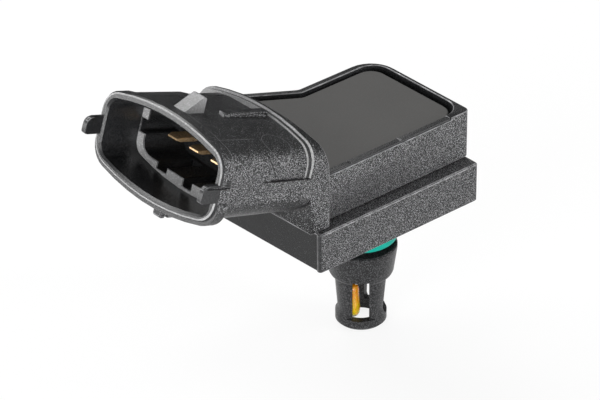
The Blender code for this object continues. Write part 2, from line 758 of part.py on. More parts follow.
def make_shroud():
    rings = []
    for s, proud in ((0.0, BAND_PROUD - RIM_EDGE), (RIM_ROUND, BAND_PROUD - 0.4 * RIM_EDGE),
                     (RIM_EDGE, BAND_PROUD), (BAND_LENGTH - BAND_SLOPE, BAND_PROUD), (BAND_LENGTH, 0.0)):
        rings.append(shroud_ring(s, *upper_size(s, proud)))
    rear = upper_size(COLLAR_AT)
    rings.append(shroud_ring(COLLAR_AT + 0.5 * COLLAR_STEP, *rear))
    rings.append(end_ring(shroud_outline(rear[0] - NECK_STEP + SHY, rear[1] - NECK_DROP), NECK_RIGHT))
    tube = loft("housing_upper", rings, housing_black)
    add(tube, loft("lower", [lower_section(s, PARTING_HEIGHT)
                             for s in (LOWER_START, COLLAR_AT + COLLAR_LENGTH + SHY)]))
    add(tube, loft("under_band", [lower_section(s, UNDER_BAND_HEIGHT, BAND_PROUD + UNDER_BAND_WIDEN,
                                                BAND_PROUD + UNDER_BAND_DROP)
                                  for s in (UNDER_BAND_START, UNDER_BAND_END)]))
    return tube


def make_collar():
    wide, high = upper_size(COLLAR_AT)
    step = COLLAR_AT + COLLAR_STEP
    rear = COLLAR_AT + COLLAR_LENGTH
    rings = [shroud_ring(s, wide + proud, high + proud)
             for s, proud in ((COLLAR_AT, -COLLAR_ROOT), (COLLAR_AT, COLLAR_FRONT_PROUD),
                              (step, COLLAR_FRONT_PROUD), (step + COLLAR_EDGE, COLLAR_PROUD),
                              (rear, COLLAR_PROUD), (rear, -COLLAR_ROOT))]
    collar = loft("collar", rings)
    reach = 2 * SHROUD_HALF_WIDTH
    cut(collar, shroud_box("cutter", (COLLAR_AT - CUT_OVER, rear + CUT_OVER),
                           (-reach, reach), (-reach, COLLAR_LOW)))
    return collar


def make_keys():
    outline = rounded([(SHROUD_WALL, KEY_LOW, 0.0), (SHROUD_WALL, KEY_TOP, 0.0),
                       (-KEY_LENGTH, KEY_TOP, KEY_TOP_CORNER), (-KEY_LENGTH, KEY_LOW, KEY_LOW_CORNER)])
    keys = []
    for side in (-1, 1):
        outer = side * (SHROUD_HALF_WIDTH - SHY)
        inner = side * (SHROUD_HALF_WIDTH - KEY_THICKNESS + SHY)
        keys.append(shroud_profile("key", outline, (min(inner, outer), max(inner, outer))))
    return keys


def make_lug():
    outline = [(LUG_START, ROOT_HEIGHT), (LUG_END, ROOT_HEIGHT), (LUG_END, LUG_HEIGHT - LUG_REAR_DROP),
               (LUG_TOP, LUG_HEIGHT), (LUG_START, LUG_FRONT_HEIGHT)]
    return shroud_profile("lug", outline, (LUG_CENTRE - LUG_HALF_WIDTH, LUG_CENTRE + LUG_HALF_WIDTH))


def make_foot():
    low = FOOT_CENTRE - 0.5 * FOOT_WIDTH
    high = FOOT_CENTRE + 0.5 * FOOT_WIDTH
    outline = [(FOOT_START, -ROOT_HEIGHT), (FOOT_START, -FOOT_LOW + FOOT_EDGE),
               (FOOT_START + FOOT_EDGE, -FOOT_LOW), (FOOT_END - FOOT_SLOPE, -FOOT_LOW),
               (FOOT_END, -FOOT_REAR_HEIGHT), (FOOT_END, -ROOT_HEIGHT)]
    foot = shroud_profile("foot", outline, (low, high))
    cut(foot, shroud_box("cutter", (FOOT_SLOT_AT, FOOT_SLOT_AT + FOOT_SLOT),
                         (low - CUT_OVER, low + FOOT_SLOT_DEPTH),
                         (-FOOT_LOW - CUT_OVER, -SHROUD_HALF_HEIGHT)))
    return foot


def make_housing():
    housing = make_shroud()
    add(housing, prism("block", rounded(HOUSING_CORNERS), HOUSING_BOTTOM, HOUSING_TOP))
    half_width = upper_size(COLLAR_AT)[0] - NECK_STEP
    neck = [(NECK_LEFT, -half_width), (NECK_RIGHT, -half_width),
            (NECK_RIGHT, half_width), (NECK_LEFT, half_width)]
    neck_top = MOUTH_Z - (NECK_RIGHT - MOUTH_X) * tan(SHROUD_PITCH)
    add(housing, prism("neck", neck, HOUSING_BOTTOM, neck_top))
    add(housing, make_collar())
    # Latch features on the shroud's outside
    add(housing, make_lug(), make_foot())
    rail_low = RAIL_INNER - RAIL_WIDTH
    add(housing, shroud_box("rail", (RAIL_START, RAIL_END), (rail_low, RAIL_INNER + RAIL_WIDTH),
                            (ROOT_HEIGHT, RAIL_TOP)))
    cut(housing, shroud_box("cutter", (PAD_START, COLLAR_AT + SHY), (RAIL_INNER, RELIEF_INNER),
                            (PAD_FLOOR, SHROUD_HALF_HEIGHT + 2 * CUT_OVER)))
    slope = [(RELIEF_INNER - SLIT_HEIGHT, SHROUD_HALF_HEIGHT + CUT_OVER),
             (RELIEF_INNER - SLIT_HEIGHT, PAD_FLOOR + SLIT_HEIGHT),
             (SHROUD_HALF_WIDTH + CUT_OVER, RELIEF_LOW - CUT_OVER),
             (SHROUD_HALF_WIDTH + CUT_OVER, SHROUD_HALF_HEIGHT + CUT_OVER)]
    cut(housing, loft("cutter", [[in_shroud(s, l, u) for l, u in slope]
                                 for s in (RELIEF_START, COLLAR_AT + 2 * SHY)]))
    return housing


def cut_parting(housing):
    """Shallow slits where the mould's two halves met on the shroud's sides."""
    for side in (-1, 1):
        outer = side * (SHROUD_HALF_WIDTH + CUT_OVER)
        inner = side * (SHROUD_HALF_WIDTH - BAND_PROUD - SLIT_DEPTH)
        cut(housing, shroud_box("cutter", (-FRONT_SLIT_START, FRONT_SLIT_END),
                                (min(inner, outer), max(inner, outer)),
                                (PARTING_HEIGHT - SLIT_HEIGHT - SHY, PARTING_HEIGHT - SHY)))
        inner = side * (upper_size(COLLAR_AT)[0] - 0.5 * SLIT_DEPTH)
        cut(housing, shroud_box("cutter", (REAR_SLIT_START, COLLAR_AT - SHY),
                                (min(inner, outer), max(inner, outer)),
                                (PARTING_HEIGHT - SHY, PARTING_HEIGHT + SLIT_HEIGHT)))


def open_socket(housing):
    """The connector's hollow: a wide mouth, a step, and the socket round the blades."""
    wide = SHROUD_HALF_WIDTH - SHROUD_WALL
    high = SHROUD_HALF_HEIGHT - SHROUD_WALL
    crown = SHROUD_CROWN - SHROUD_WALL
    corner = SHROUD_CORNER - SHROUD_WALL
    mouth = []
    for s, widen in ((-CUT_OVER, MOUTH_CHAMFER + SHY), (0.0, MOUTH_CHAMFER), (MOUTH_CHAMFER, 0.0),
                     (CAVITY_DEPTH, -2 * SHY)):
        outline = shroud_outline(wide + widen, high + widen, crown, corner)
        mouth.append([in_shroud(s, l, u if u > 0.0 else u - MOUTH_SAG) for l, u in outline])
    cut(housing, loft("cutter", mouth))
    socket = [shroud_ring(s, SOCKET_HALF_WIDTH, SOCKET_HALF_HEIGHT, SOCKET_CROWN, SOCKET_CORNER)
              for s in (CAVITY_DEPTH - CUT_OVER, SOCKET_DEPTH)]
    cut(housing, loft("cutter", socket))
    # Keyways in the step, which only the right connector passes
    keyways = []
    for centre, width, depth in ((KEYWAY_FAR, KEYWAY_FAR_WIDTH, KEYWAY_FAR_DEPTH),
                                 (KEYWAY_MIDDLE, KEYWAY_MIDDLE_WIDTH, KEYWAY_MIDDLE_DEPTH)):
        keyways.append(((centre - 0.5 * width, centre + 0.5 * width), (-SOCKET_HALF_HEIGHT - depth, 0.0)))
    side_span = (KEYWAY_SIDE - 0.5 * KEYWAY_SIDE_WIDTH, KEYWAY_SIDE + 0.5 * KEYWAY_SIDE_WIDTH)
    reach = SOCKET_HALF_WIDTH + KEYWAY_SIDE_DEPTH
    keyways.append(((-reach, KEYWAY_SIDE_WIDTH - SOCKET_HALF_WIDTH), side_span))
    keyways.append(((SOCKET_HALF_WIDTH - KEYWAY_SIDE_WIDTH, reach), side_span))
    for l, u in keyways:
        cut(housing, shroud_box("cutter", (CAVITY_DEPTH - CUT_OVER, SOCKET_DEPTH - CUT_OVER), l, u))


def open_terminal_slots(housing):
    half = 0.5 * TERMINAL_THICKNESS + FIT_GAP
    side = 0.5 * TERMINAL_WIDTH + FIT_GAP
    for i in range(TERMINAL_COUNT):
        y = terminal_y(i)
        cut(housing, strip("cutter", terminal_path(), half, y - side, y + side, overrun=CUT_OVER))


def open_block(housing):
    """The cover's recess and the chamber below it."""
    face = -HOUSING_HALF_WIDTH
    lip_end = BASE_RIGHT - SIDE_LIP - RECESS_CORNER
    step_plan = [(NECK_RIGHT, face - CUT_OVER), (lip_end, face - CUT_OVER),
                 (lip_end, face + LIP_SETBACK), (NECK_RIGHT, face + LIP_SETBACK)]
    cut(housing, prism("cutter", step_plan, HOUSING_TOP - LIP_STEP, HOUSING_TOP + CUT_OVER))
    lip_back = face + FRONT_LIP + CUT_OVER
    lip_plan = [(NECK_RIGHT, face), (lip_end, face), (lip_end, lip_back), (NECK_RIGHT, lip_back)]
    cut(housing, prism("cutter", lip_plan, HOUSING_TOP - FRONT_LIP_DROP, HOUSING_TOP + CUT_OVER))
    cut(housing, prism("cutter", recess_plan(), LEDGE_TOP, HOUSING_TOP + CUT_OVER))
    chamber = [(SHELF_LEFT, CAVITY_FRONT), (CAVITY_RIGHT, CAVITY_FRONT),
               (CAVITY_RIGHT, CAVITY_BACK), (SHELF_LEFT, CAVITY_BACK)]
    cut(housing, prism("cutter", chamber, SHELF_TOP, LEDGE_TOP + CUT_OVER))
    lower = [(SHELF_RIGHT, CAVITY_FRONT), (CAVITY_RIGHT, CAVITY_FRONT),
             (CAVITY_RIGHT, CAVITY_BACK), (SHELF_RIGHT, CAVITY_BACK)]
    cut(housing, prism("cutter", lower, HOUSING_BOTTOM - CUT_OVER, SHELF_TOP + CUT_OVER))
    for k in range(TICK_COUNT):
        x = TICK_FIRST_X + k * TICK_PITCH
        tick = box("tick", (x, -HOUSING_HALF_WIDTH + LIP_SETBACK + SHY, HOUSING_TOP - LIP_STEP),
                   (x + TICK_WIDTH, -HOUSING_HALF_WIDTH + FRONT_LIP - SHY, HOUSING_TOP))
        add(housing, tick)


housing = make_housing()
open_socket(housing)
add(housing, *make_keys())
cut_parting(housing)
open_block(housing)
open_terminal_slots(housing)
tidy(housing)


# Cover and its seal

cover = prism("cover_lid", cover_plan(), COVER_BOTTOM, COVER_BOTTOM + COVER_THICKNESS,
              cover_grey, COVER_EDGE)
tidy(cover)
seal_west = SHELF_LEFT - SEAL_REACH
seal_east = CAVITY_RIGHT + SEAL_REACH
seal_south = CAVITY_FRONT - SEAL_REACH
seal_north = CAVITY_BACK + SEAL_REACH
seal_outer = [(seal_west, seal_south), (seal_east, seal_south),
              (seal_east, seal_north), (seal_west, seal_north)]
seal = ring_prism("cover_seal", seal_outer, inset(seal_outer, SEAL_WIDTH), LEDGE_TOP + FIT_GAP,
                  LEDGE_TOP + FIT_GAP + SEAL_THICKNESS, seal_black)
tidy(seal)


# Base, port and ear in one moulding

def make_port():
    """The port's solid: collar, O-ring groove, lip, barrel, shoulder and cage."""
    profile = [(PORT_RADIUS, 0.5 * BASE_HEIGHT), (PORT_RADIUS, -GROOVE_TOP), (GROOVE_RADIUS, -GROOVE_TOP),
               (GROOVE_RADIUS, -GROOVE_BOTTOM), (LIP_RADIUS - LIP_EDGE, -GROOVE_BOTTOM),
               (LIP_RADIUS, -GROOVE_BOTTOM - LIP_EDGE), (LIP_RADIUS, -GROOVE_BOTTOM - LIP_HEIGHT),
               (BARREL_END_RADIUS, -BARREL_END)]
    drop = CAGE_TOP - BARREL_END
    run = BARREL_END_RADIUS - CAGE_TOP_RADIUS
    for k in range(1, SHOULDER_STEPS + 1):
        angle = pi / 2 * k / SHOULDER_STEPS
        profile.append((BARREL_END_RADIUS - run * (1 - cos(angle)), -BARREL_END - drop * sin(angle)))
    profile += [(CAGE_LOW_RADIUS, -CAGE_LOW), (RING_RADIUS, -RING_TOP),
                (RING_RADIUS, -PORT_END + RING_EDGE), (RING_RADIUS - RING_EDGE, -PORT_END)]
    return disc_stack("port", profile)


def radial_block(angle, width, near, far, low, high):
    """An upright block that points away from the port's axis."""
    along = Vector((cos(angle), sin(angle)))
    across = Vector((-along.y, along.x)) * (0.5 * width)
    outline = [along * near - across, along * far - across, along * far + across, along * near + across]
    return prism("cutter", [tuple(p) for p in outline], low, high)


def window_cutter(angle, width):
    return radial_block(angle, width, 0.4 * CAGE_BORE, 2 * CAGE_BORE, -RING_TOP, -CAGE_ROOF)


def make_boss():
    """The round boss on the barrel's end, above the front window."""
    along = Vector((cos(WINDOW_DIRECTION), sin(WINDOW_DIRECTION), 0.0))
    across = Vector((-along.y, along.x, 0.0))
    rings = []
    for radius in (CAGE_TOP_RADIUS, BOSS_FACE):
        centre = along * radius + Vector((0.0, 0.0, -BOSS_DEPTH))
        rings.append([centre + across * (BOSS_RADIUS * cos(2 * pi * k / SMALL_BORE_STEPS))
                      + Vector((0.0, 0.0, BOSS_RADIUS * sin(2 * pi * k / SMALL_BORE_STEPS)))
                      for k in range(SMALL_BORE_STEPS)])
    return loft("boss", rings)


def open_cage(base):
    """The cage's bore, its windows and the flat beside the front one."""
    cut(base, disc_stack("cutter", [(CAGE_BORE, -PORT_END - CUT_OVER), (CAGE_BORE, -CAGE_ROOF)],
                         steps=BORE_STEPS))
    cut(base, radial_block(WINDOW_DIRECTION, 2 * RING_RADIUS, WINDOW_FLAT, 2 * CAGE_BORE,
                           -RING_TOP, -CAGE_TOP))
    cut(base, window_cutter(WINDOW_DIRECTION, WINDOW_WIDTH))
    cut(base, window_cutter(WINDOW_DIRECTION + SIDE_WINDOW_TURN, SIDE_WINDOW_WIDTH))
    cut(base, window_cutter(WINDOW_DIRECTION + FAR_WINDOW_TURN, FAR_WINDOW_WIDTH))
    offset = atan2(0.5 * (REAR_LEG_WIDTH + REAR_WINDOW_WIDTH), 0.5 * (CAGE_BORE + CAGE_LOW_RADIUS))
    for side in (-1, 1):
        cut(base, window_cutter(WINDOW_DIRECTION + pi + side * offset, REAR_WINDOW_WIDTH))


def make_base():
    base = prism("port_body", base_plan(), 0.0, BASE_HEIGHT, base_black, BASE_EDGE)
    west = SHELF_RIGHT + FIT_GAP
    east = CAVITY_RIGHT - FIT_GAP
    south = CAVITY_FRONT + FIT_GAP
    north = CAVITY_BACK - FIT_GAP
    plateau = [(west, south), (east, south), (east, north), (west, north)]
    add(base, prism("plateau", plateau, 0.5 * BASE_HEIGHT, FLOOR_TOP))
    add(base, make_port(), make_boss())
    bush_hole = [(BUSH_RADIUS + FIT_GAP, -CUT_OVER), (BUSH_RADIUS + FIT_GAP, BASE_HEIGHT + CUT_OVER)]
    cut(base, disc_stack("cutter", bush_hole, centre=(EAR_X, EAR_Y)))
    # Seal channel
    outer = joint_plan(CHANNEL_SETBACK)
    inner = joint_plan(CHANNEL_SETBACK + JOINT_SEAL_WIDTH + 2 * FIT_GAP)
    cut(base, ring_prism("cutter", outer, inner,
                         BASE_HEIGHT - JOINT_SEAL_DEPTH, BASE_HEIGHT + CUT_OVER, None))
    open_cage(base)
    # Pressure bore and lead holes
    low = -CAGE_ROOF - CUT_OVER
    high = FLOOR_TOP + CUT_OVER
    cut(base, disc_stack("cutter", [(PRESSURE_BORE, low), (PRESSURE_BORE, high)],
                         steps=SMALL_BORE_STEPS, centre=(PRESSURE_BORE_X, 0.0)))
    for side in (-1, 1):
        cut(base, disc_stack("cutter", [(LEAD_RADIUS + FIT_GAP, low), (LEAD_RADIUS + FIT_GAP, high)],
                             steps=WIRE_STEPS, centre=(BEAD_X, side * 0.5 * LEAD_SPACING)))
    return base


base = make_base()
tidy(base)

joint = ring_prism("joint_seal", joint_plan(CHANNEL_SETBACK + FIT_GAP),
                   joint_plan(CHANNEL_SETBACK + FIT_GAP + JOINT_SEAL_WIDTH),
                   BASE_HEIGHT - JOINT_SEAL_DEPTH + FIT_GAP, BASE_HEIGHT + JOINT_SEAL_PROUD, seal_black)
tidy(joint)

bush = turned("mounting_bush", [(BUSH_BORE, BUSH_CHAMFER), (BUSH_BORE + BUSH_CHAMFER, 0.0),
                                (BUSH_RADIUS, 0.0), (BUSH_RADIUS, BASE_HEIGHT + BUSH_PROUD),
                                (BUSH_BORE + BUSH_CHAMFER, BASE_HEIGHT + BUSH_PROUD),
                                (BUSH_BORE, BASE_HEIGHT + BUSH_PROUD - BUSH_CHAMFER)],
              bush_steel, centre=(EAR_X, EAR_Y))
tidy(bush)

ring_middle = -GROOVE_TOP - FIT_GAP - O_RING_SECTION
ring_core = GROOVE_RADIUS + FIT_GAP + O_RING_SECTION
ring_profile = []
for k in range(SECTION_STEPS):
    angle = 2 * pi * k / SECTION_STEPS
    ring_profile.append((ring_core + O_RING_SECTION * cos(angle), ring_middle + O_RING_SECTION * sin(angle)))
o_ring = turned("o_ring", ring_profile, ring_teal)
tidy(o_ring, radians(60))


# Thermistor

bead_profile = [(BEAD_TIP_RADIUS, -BEAD_END)]
for k in range(2, END_STEPS + 1):
    angle = pi / 2 * k / END_STEPS
    bead_profile.append((BEAD_RADIUS * sin(angle), -BEAD_END + BEAD_RADIUS * (1 - cos(angle))))
for k in range(END_STEPS):
    angle = pi / 2 * k / END_STEPS
    bead_profile.append((BEAD_TOP_RADIUS * cos(angle),
                         -BEAD_END + BEAD_LENGTH - BEAD_TOP_RADIUS * (1 - sin(angle))))
bead = disc_stack("thermistor_bead", bead_profile, bead_amber, steps=BEAD_STEPS, centre=(BEAD_X, 0.0))
tidy(bead, radians(60))

for side, number in ((-1, 1), (1, 2)):
    ends = [(LEAD_RADIUS, -BEAD_END + BEAD_LENGTH + FIT_GAP), (LEAD_RADIUS, BOARD_TOP + LEAD_STAND)]
    lead = disc_stack(f"thermistor_lead_{number}", ends,
                      lead_tinned, steps=WIRE_STEPS, centre=(BEAD_X, side * 0.5 * LEAD_SPACING))
    tidy(lead, radians(60))


# Board, pressure cell and the parts on the board

board = box("circuit_board", (BOARD_LEFT, -BOARD_HALF_WIDTH, BOARD_BOTTOM),
            (BOARD_RIGHT, BOARD_HALF_WIDTH, BOARD_TOP), board_white)
cut(board, disc_stack("cutter", [(PRESSURE_BORE, BOARD_BOTTOM - CUT_OVER),
                                 (PRESSURE_BORE, BOARD_TOP + CUT_OVER)],
                      steps=SMALL_BORE_STEPS, centre=(PRESSURE_BORE_X, 0.0)))
for side in (-1, 1):
    cut(board, disc_stack("cutter", [(LEAD_RADIUS + FIT_GAP, BOARD_BOTTOM - CUT_OVER),
                                     (LEAD_RADIUS + FIT_GAP, BOARD_TOP + CUT_OVER)],
                          steps=WIRE_STEPS, centre=(BEAD_X, side * 0.5 * LEAD_SPACING)))
tidy(board)


def block_at(name, x, y, size_x, size_y, low, high, material):
    return box(name, (x - 0.5 * size_x, y - 0.5 * size_y, low),
               (x + 0.5 * size_x, y + 0.5 * size_y, high), material)


pedestal_low = BOARD_TOP + FIT_GAP
pedestal = block_at("chip_pedestal", PRESSURE_BORE_X, 0.0, PEDESTAL_SIZE, PEDESTAL_SIZE,
                    pedestal_low, pedestal_low + PEDESTAL_HEIGHT, pedestal_glass)
cut(pedestal, disc_stack("cutter", [(0.5 * PRESSURE_BORE, pedestal_low - CUT_OVER),
                                    (0.5 * PRESSURE_BORE, pedestal_low + PEDESTAL_HEIGHT + CUT_OVER)],
                         steps=SMALL_BORE_STEPS, centre=(PRESSURE_BORE_X, 0.0)))
tidy(pedestal)

die_low = pedestal_low + PEDESTAL_HEIGHT + FIT_GAP
die = block_at("pressure_die", PRESSURE_BORE_X, 0.0, DIE_SIZE, DIE_SIZE,
               die_low, die_low + DIE_THICKNESS, die_silicon)
tidy(die)

frame_half = 0.5 * FRAME_SIZE
frame_west = PRESSURE_BORE_X - frame_half
frame_east = PRESSURE_BORE_X + frame_half
frame_outer = [(frame_west, -frame_half), (frame_east, -frame_half),
               (frame_east, frame_half), (frame_west, frame_half)]
frame_low = BOARD_TOP + FIT_GAP
dam = ring_prism("gel_dam", frame_outer, inset(frame_outer, FRAME_WALL),
                 frame_low, frame_low + FRAME_HEIGHT, frame_dark)
tidy(dam)

gel_side = FRAME_SIZE - 2 * FRAME_WALL - 2 * FIT_GAP
gel = block_at("protective_gel", PRESSURE_BORE_X, 0.0, gel_side, gel_side, frame_low,
               frame_low + FRAME_HEIGHT - GEL_TOP, gel_clear)
pocket = PEDESTAL_SIZE + 2 * FIT_GAP
cut(gel, block_at("cutter", PRESSURE_BORE_X, 0.0, pocket, pocket, frame_low - CUT_OVER,
                  die_low + DIE_THICKNESS + FIT_GAP, None))
tidy(gel)

signal_chip = block_at("signal_chip", CHIP_X, 0.0, CHIP_SIZE, CHIP_SIZE, BOARD_TOP + FIT_GAP,
                       BOARD_TOP + FIT_GAP + CHIP_HEIGHT, chip_dark)
tidy(signal_chip)

for number in range(TERMINAL_COUNT):
    y = row_y(number, BOARD_HALF_WIDTH - CAPACITOR_EDGE)
    capacitor = block_at(f"capacitor_{number + 1}", CAPACITOR_X, y, CAPACITOR_LENGTH, CAPACITOR_WIDTH,
                         BOARD_TOP + FIT_GAP, BOARD_TOP + FIT_GAP + CAPACITOR_HEIGHT, capacitor_tan)
    tidy(capacitor)
    low = BOARD_TOP + FIT_GAP + 0.5 * RIBBON_THICKNESS
    high = TERMINAL_LOW_Z + 0.5 * TERMINAL_THICKNESS + FIT_GAP + 0.5 * RIBBON_THICKNESS
    left = TERMINAL_END_X - RIBBON_FOOT
    right = BOARD_LEFT + 2 * RIBBON_FOOT
    y = row_y(number, BOARD_HALF_WIDTH - RIBBON_EDGE)
    arch = bent([(left, high), (TERMINAL_END_X, high),
                 (0.5 * (TERMINAL_END_X + BOARD_LEFT), high + RIBBON_RISE),
                 (BOARD_LEFT + RIBBON_FOOT, low), (right, low)], RIBBON_BEND)
    ribbon = strip(f"bond_ribbon_{number + 1}", arch, 0.5 * RIBBON_THICKNESS,
                   y - 0.5 * RIBBON_WIDTH, y + 0.5 * RIBBON_WIDTH, ribbon_metal)
    tidy(ribbon)
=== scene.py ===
from math import cos, pi, radians, sin

import bmesh
import bpy
from mathutils import Matrix, Vector


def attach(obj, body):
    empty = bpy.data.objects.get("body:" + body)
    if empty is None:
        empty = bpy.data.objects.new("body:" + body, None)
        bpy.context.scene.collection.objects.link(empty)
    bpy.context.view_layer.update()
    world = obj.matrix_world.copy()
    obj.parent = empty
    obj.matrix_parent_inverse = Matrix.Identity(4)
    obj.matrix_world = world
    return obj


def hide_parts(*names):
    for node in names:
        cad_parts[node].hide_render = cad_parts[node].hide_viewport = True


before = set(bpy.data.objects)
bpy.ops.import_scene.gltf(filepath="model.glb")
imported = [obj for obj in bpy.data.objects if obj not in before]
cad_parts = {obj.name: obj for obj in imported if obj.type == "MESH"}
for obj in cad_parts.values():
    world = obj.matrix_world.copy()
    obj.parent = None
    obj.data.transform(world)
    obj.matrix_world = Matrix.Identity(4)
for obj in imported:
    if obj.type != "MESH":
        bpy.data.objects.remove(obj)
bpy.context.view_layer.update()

mm = 0.001
scene = bpy.context.scene


# camera: the photograph's viewpoint, found from the edges of the base and the shroud
cameraValues = {
    "azimuth": radians(-41.624),
    "elevation": radians(31.002),
    "distance": 603.3 * mm,
    "aim": (-5.5 * mm, -2.75 * mm, 4.0 * mm),
    "lens": 211.0,
    "sensor": 36.0,
    "shift": (-0.0800, -0.0144),
    "clipStart": 10 * mm,
}


def makeCamera(values):
    az, el = values["azimuth"], values["elevation"]
    back = Vector((sin(az) * cos(el), -cos(az) * cos(el), sin(el)))
    right = Vector((cos(az), sin(az), 0.0))
    up = back.cross(right)
    data = bpy.data.cameras.new("photoCamera")
    data.sensor_width = values["sensor"]
    data.lens = values["lens"]
    data.shift_x, data.shift_y = values["shift"]
    data.clip_start = values["clipStart"]
    camera = bpy.data.objects.new("photoCamera", data)
    scene.collection.objects.link(camera)
    place = Matrix((right, up, back)).transposed().to_4x4()
    place.translation = Vector(values["aim"]) + back * values["distance"]
    camera.matrix_world = place
    scene.camera = camera


makeCamera(cameraValues)
scene.view_settings.view_transform = "Standard"
print("camera placed")


# small helpers for node trees
def addNode(tree, kind, **settings):
    node = tree.nodes.new(kind)
    for key, value in settings.items():
        setattr(node, key, value)
    return node


def feed(tree, term, socket):
    if isinstance(term, bpy.types.NodeSocket):
        tree.links.new(term, socket)
    else:
        socket.default_value = term


def feedAll(tree, node, terms):
    for name, term in terms.items():
        feed(tree, term, node.inputs[name])


def calc(tree, operation, *terms):
    node = addNode(tree, "ShaderNodeMath", operation=operation)
    for place, term in enumerate(terms):
        feed(tree, term, node.inputs[place])
    return node.outputs[0]


def calcVector(tree, operation, *terms):
    node = addNode(tree, "ShaderNodeVectorMath", operation=operation)
    for place, term in enumerate(terms):
        feed(tree, term, node.inputs[place])
    return node.outputs["Value"] if operation in ("LENGTH", "DOT_PRODUCT") else node.outputs["Vector"]


def splitVector(tree, vector):
    node = addNode(tree, "ShaderNodeSeparateXYZ")
    feed(tree, vector, node.inputs[0])
    return node.outputs


def mapped(tree, vector, kind="POINT", **settings):
    node = addNode(tree, "ShaderNodeMapping", vector_type=kind)
    feedAll(tree, node, dict(settings, Vector=vector))
    return node.outputs[0]


def spread(tree, value, fromLow, fromHigh, toLow=0.0, toHigh=1.0, kind="LINEAR"):
    node = addNode(tree, "ShaderNodeMapRange", interpolation_type=kind)
    feedAll(tree, node, {
        "Value": value, "From Min": fromLow, "From Max": fromHigh, "To Min": toLow, "To Max": toHigh})
    return node.outputs["Result"]


def noise(tree, coordinates, scale, detail=2.0, rough=0.5):
    node = addNode(tree, "ShaderNodeTexNoise")
    feedAll(tree, node, {"Vector": coordinates, "Scale": scale, "Detail": detail, "Roughness": rough})
    return node.outputs[0]


# the Mix node's colour sockets by place, because its sockets share their names
mixSockets = {"share": 0, "low": 6, "high": 7, "result": 2}


def blendColour(tree, share, low, high, how="MIX"):
    node = addNode(tree, "ShaderNodeMix", data_type="RGBA", blend_type=how)
    feed(tree, share, node.inputs[mixSockets["share"]])
    for side, colour in (("low", low), ("high", high)):
        feed(tree, (*colour, 1.0) if isinstance(colour, tuple) else colour, node.inputs[mixSockets[side]])
    return node.outputs[mixSockets["result"]]


def newGroup(name, inputs, outputs):
    group = bpy.data.node_groups.new(name, "ShaderNodeTree")
    for label, value in inputs.items():
        kind = "NodeSocketVector" if isinstance(value, tuple) else "NodeSocketFloat"
        group.interface.new_socket(label, in_out="INPUT", socket_type=kind).default_value = value
    for label in outputs:
        group.interface.new_socket(label, in_out="OUTPUT", socket_type="NodeSocketFloat")
    return group, addNode(group, "NodeGroupInput").outputs, addNode(group, "NodeGroupOutput").inputs


def useGroup(tree, group, terms):
    node = addNode(tree, "ShaderNodeGroup", node_tree=group)
    feedAll(tree, node, terms)
    return node.outputs


def newMaterial(name):
    material = bpy.data.materials.new(name)
    material.use_nodes = True
    tree = material.node_tree
    coordinates = addNode(tree, "ShaderNodeTexCoord").outputs["Object"]
    return material, tree, tree.nodes["Principled BSDF"], coordinates


def bumped(tree, shader, height, strength, depth):
    bump = addNode(tree, "ShaderNodeBump")
    feedAll(tree, bump, {"Height": height, "Strength": strength, "Distance": depth})
    tree.links.new(bump.outputs["Normal"], shader.inputs["Normal"])


# grain of a spark-eroded mould: fine pits, light points where a glass fibre end shows, and a broad
# uneven tone; the turn keeps the noise out of line with flat faces
grainValues = {
    "turn": (0.62, 0.41, 0.93), "pitDetail": 2.0, "pitRough": 0.6, "cellShare": 0.55,
    "toneScale": 160.0, "toneReach": (0.3, 0.7),
}


def makeGrainGroup(values):
    group, given, out = newGroup("mouldGrain", {
        "Coordinates": (0.0, 0.0, 0.0), "Grain Size": 0.25, "Points From": 0.52, "Points Full": 0.62,
        "Mottle": 0.3}, ["Height", "Points", "Tone"])
    scale = calc(group, "DIVIDE", 1.0 / mm, given["Grain Size"])       # grain size in mm to noise scale
    turned = mapped(group, given["Coordinates"], Rotation=values["turn"])
    pits = noise(group, turned, scale, values["pitDetail"], values["pitRough"])
    cells = addNode(group, "ShaderNodeTexVoronoi", feature="F1")
    feedAll(group, cells, {"Vector": turned, "Scale": scale})
    height = calc(group, "MULTIPLY_ADD", cells.outputs["Distance"], values["cellShare"], pits)
    points = spread(group, pits, given["Points From"], given["Points Full"], kind="SMOOTHSTEP")
    broad = noise(group, given["Coordinates"], values["toneScale"])
    darkest = calc(group, "SUBTRACT", 1.0, given["Mottle"])
    tone = spread(group, broad, *values["toneReach"], 1.0, darkest)
    for label, term in (("Height", height), ("Points", points), ("Tone", tone)):
        feed(group, term, out[label])
    return group


# fine rings that a lathe tool leaves, about the Z axis of the coordinates
latheNoise = 2500.0


def makeRingsGroup():
    group, given, out = newGroup("turnedRings", {
        "Coordinates": (0.0, 0.0, 0.0), "Ring Pitch": 0.12, "Uneven": 0.4}, ["Height"])
    parts = splitVector(group, given["Coordinates"])
    flat = addNode(group, "ShaderNodeCombineXYZ")
    feedAll(group, flat, {"X": parts["X"], "Y": parts["Y"]})
    along = calc(group, "ADD", calcVector(group, "LENGTH", flat.outputs[0]), parts["Z"])
    turns = calc(group, "DIVIDE", along, calc(group, "MULTIPLY", given["Ring Pitch"], mm))
    wave = calc(group, "SINE", calc(group, "MULTIPLY", turns, 2.0 * pi))
    rough = calc(group, "MULTIPLY", noise(group, given["Coordinates"], latheNoise), given["Uneven"])
    feed(group, calc(group, "ADD", spread(group, wave, -1.0, 1.0), rough), out["Height"])
    return group


# a drawn line is full over this share of its width, and fades from there
lineCore = 0.4


def lineMask(group, away, width):
    core = calc(group, "MULTIPLY", width, lineCore)
    return spread(group, away, core, width, 1.0, 0.0, "SMOOTHSTEP")


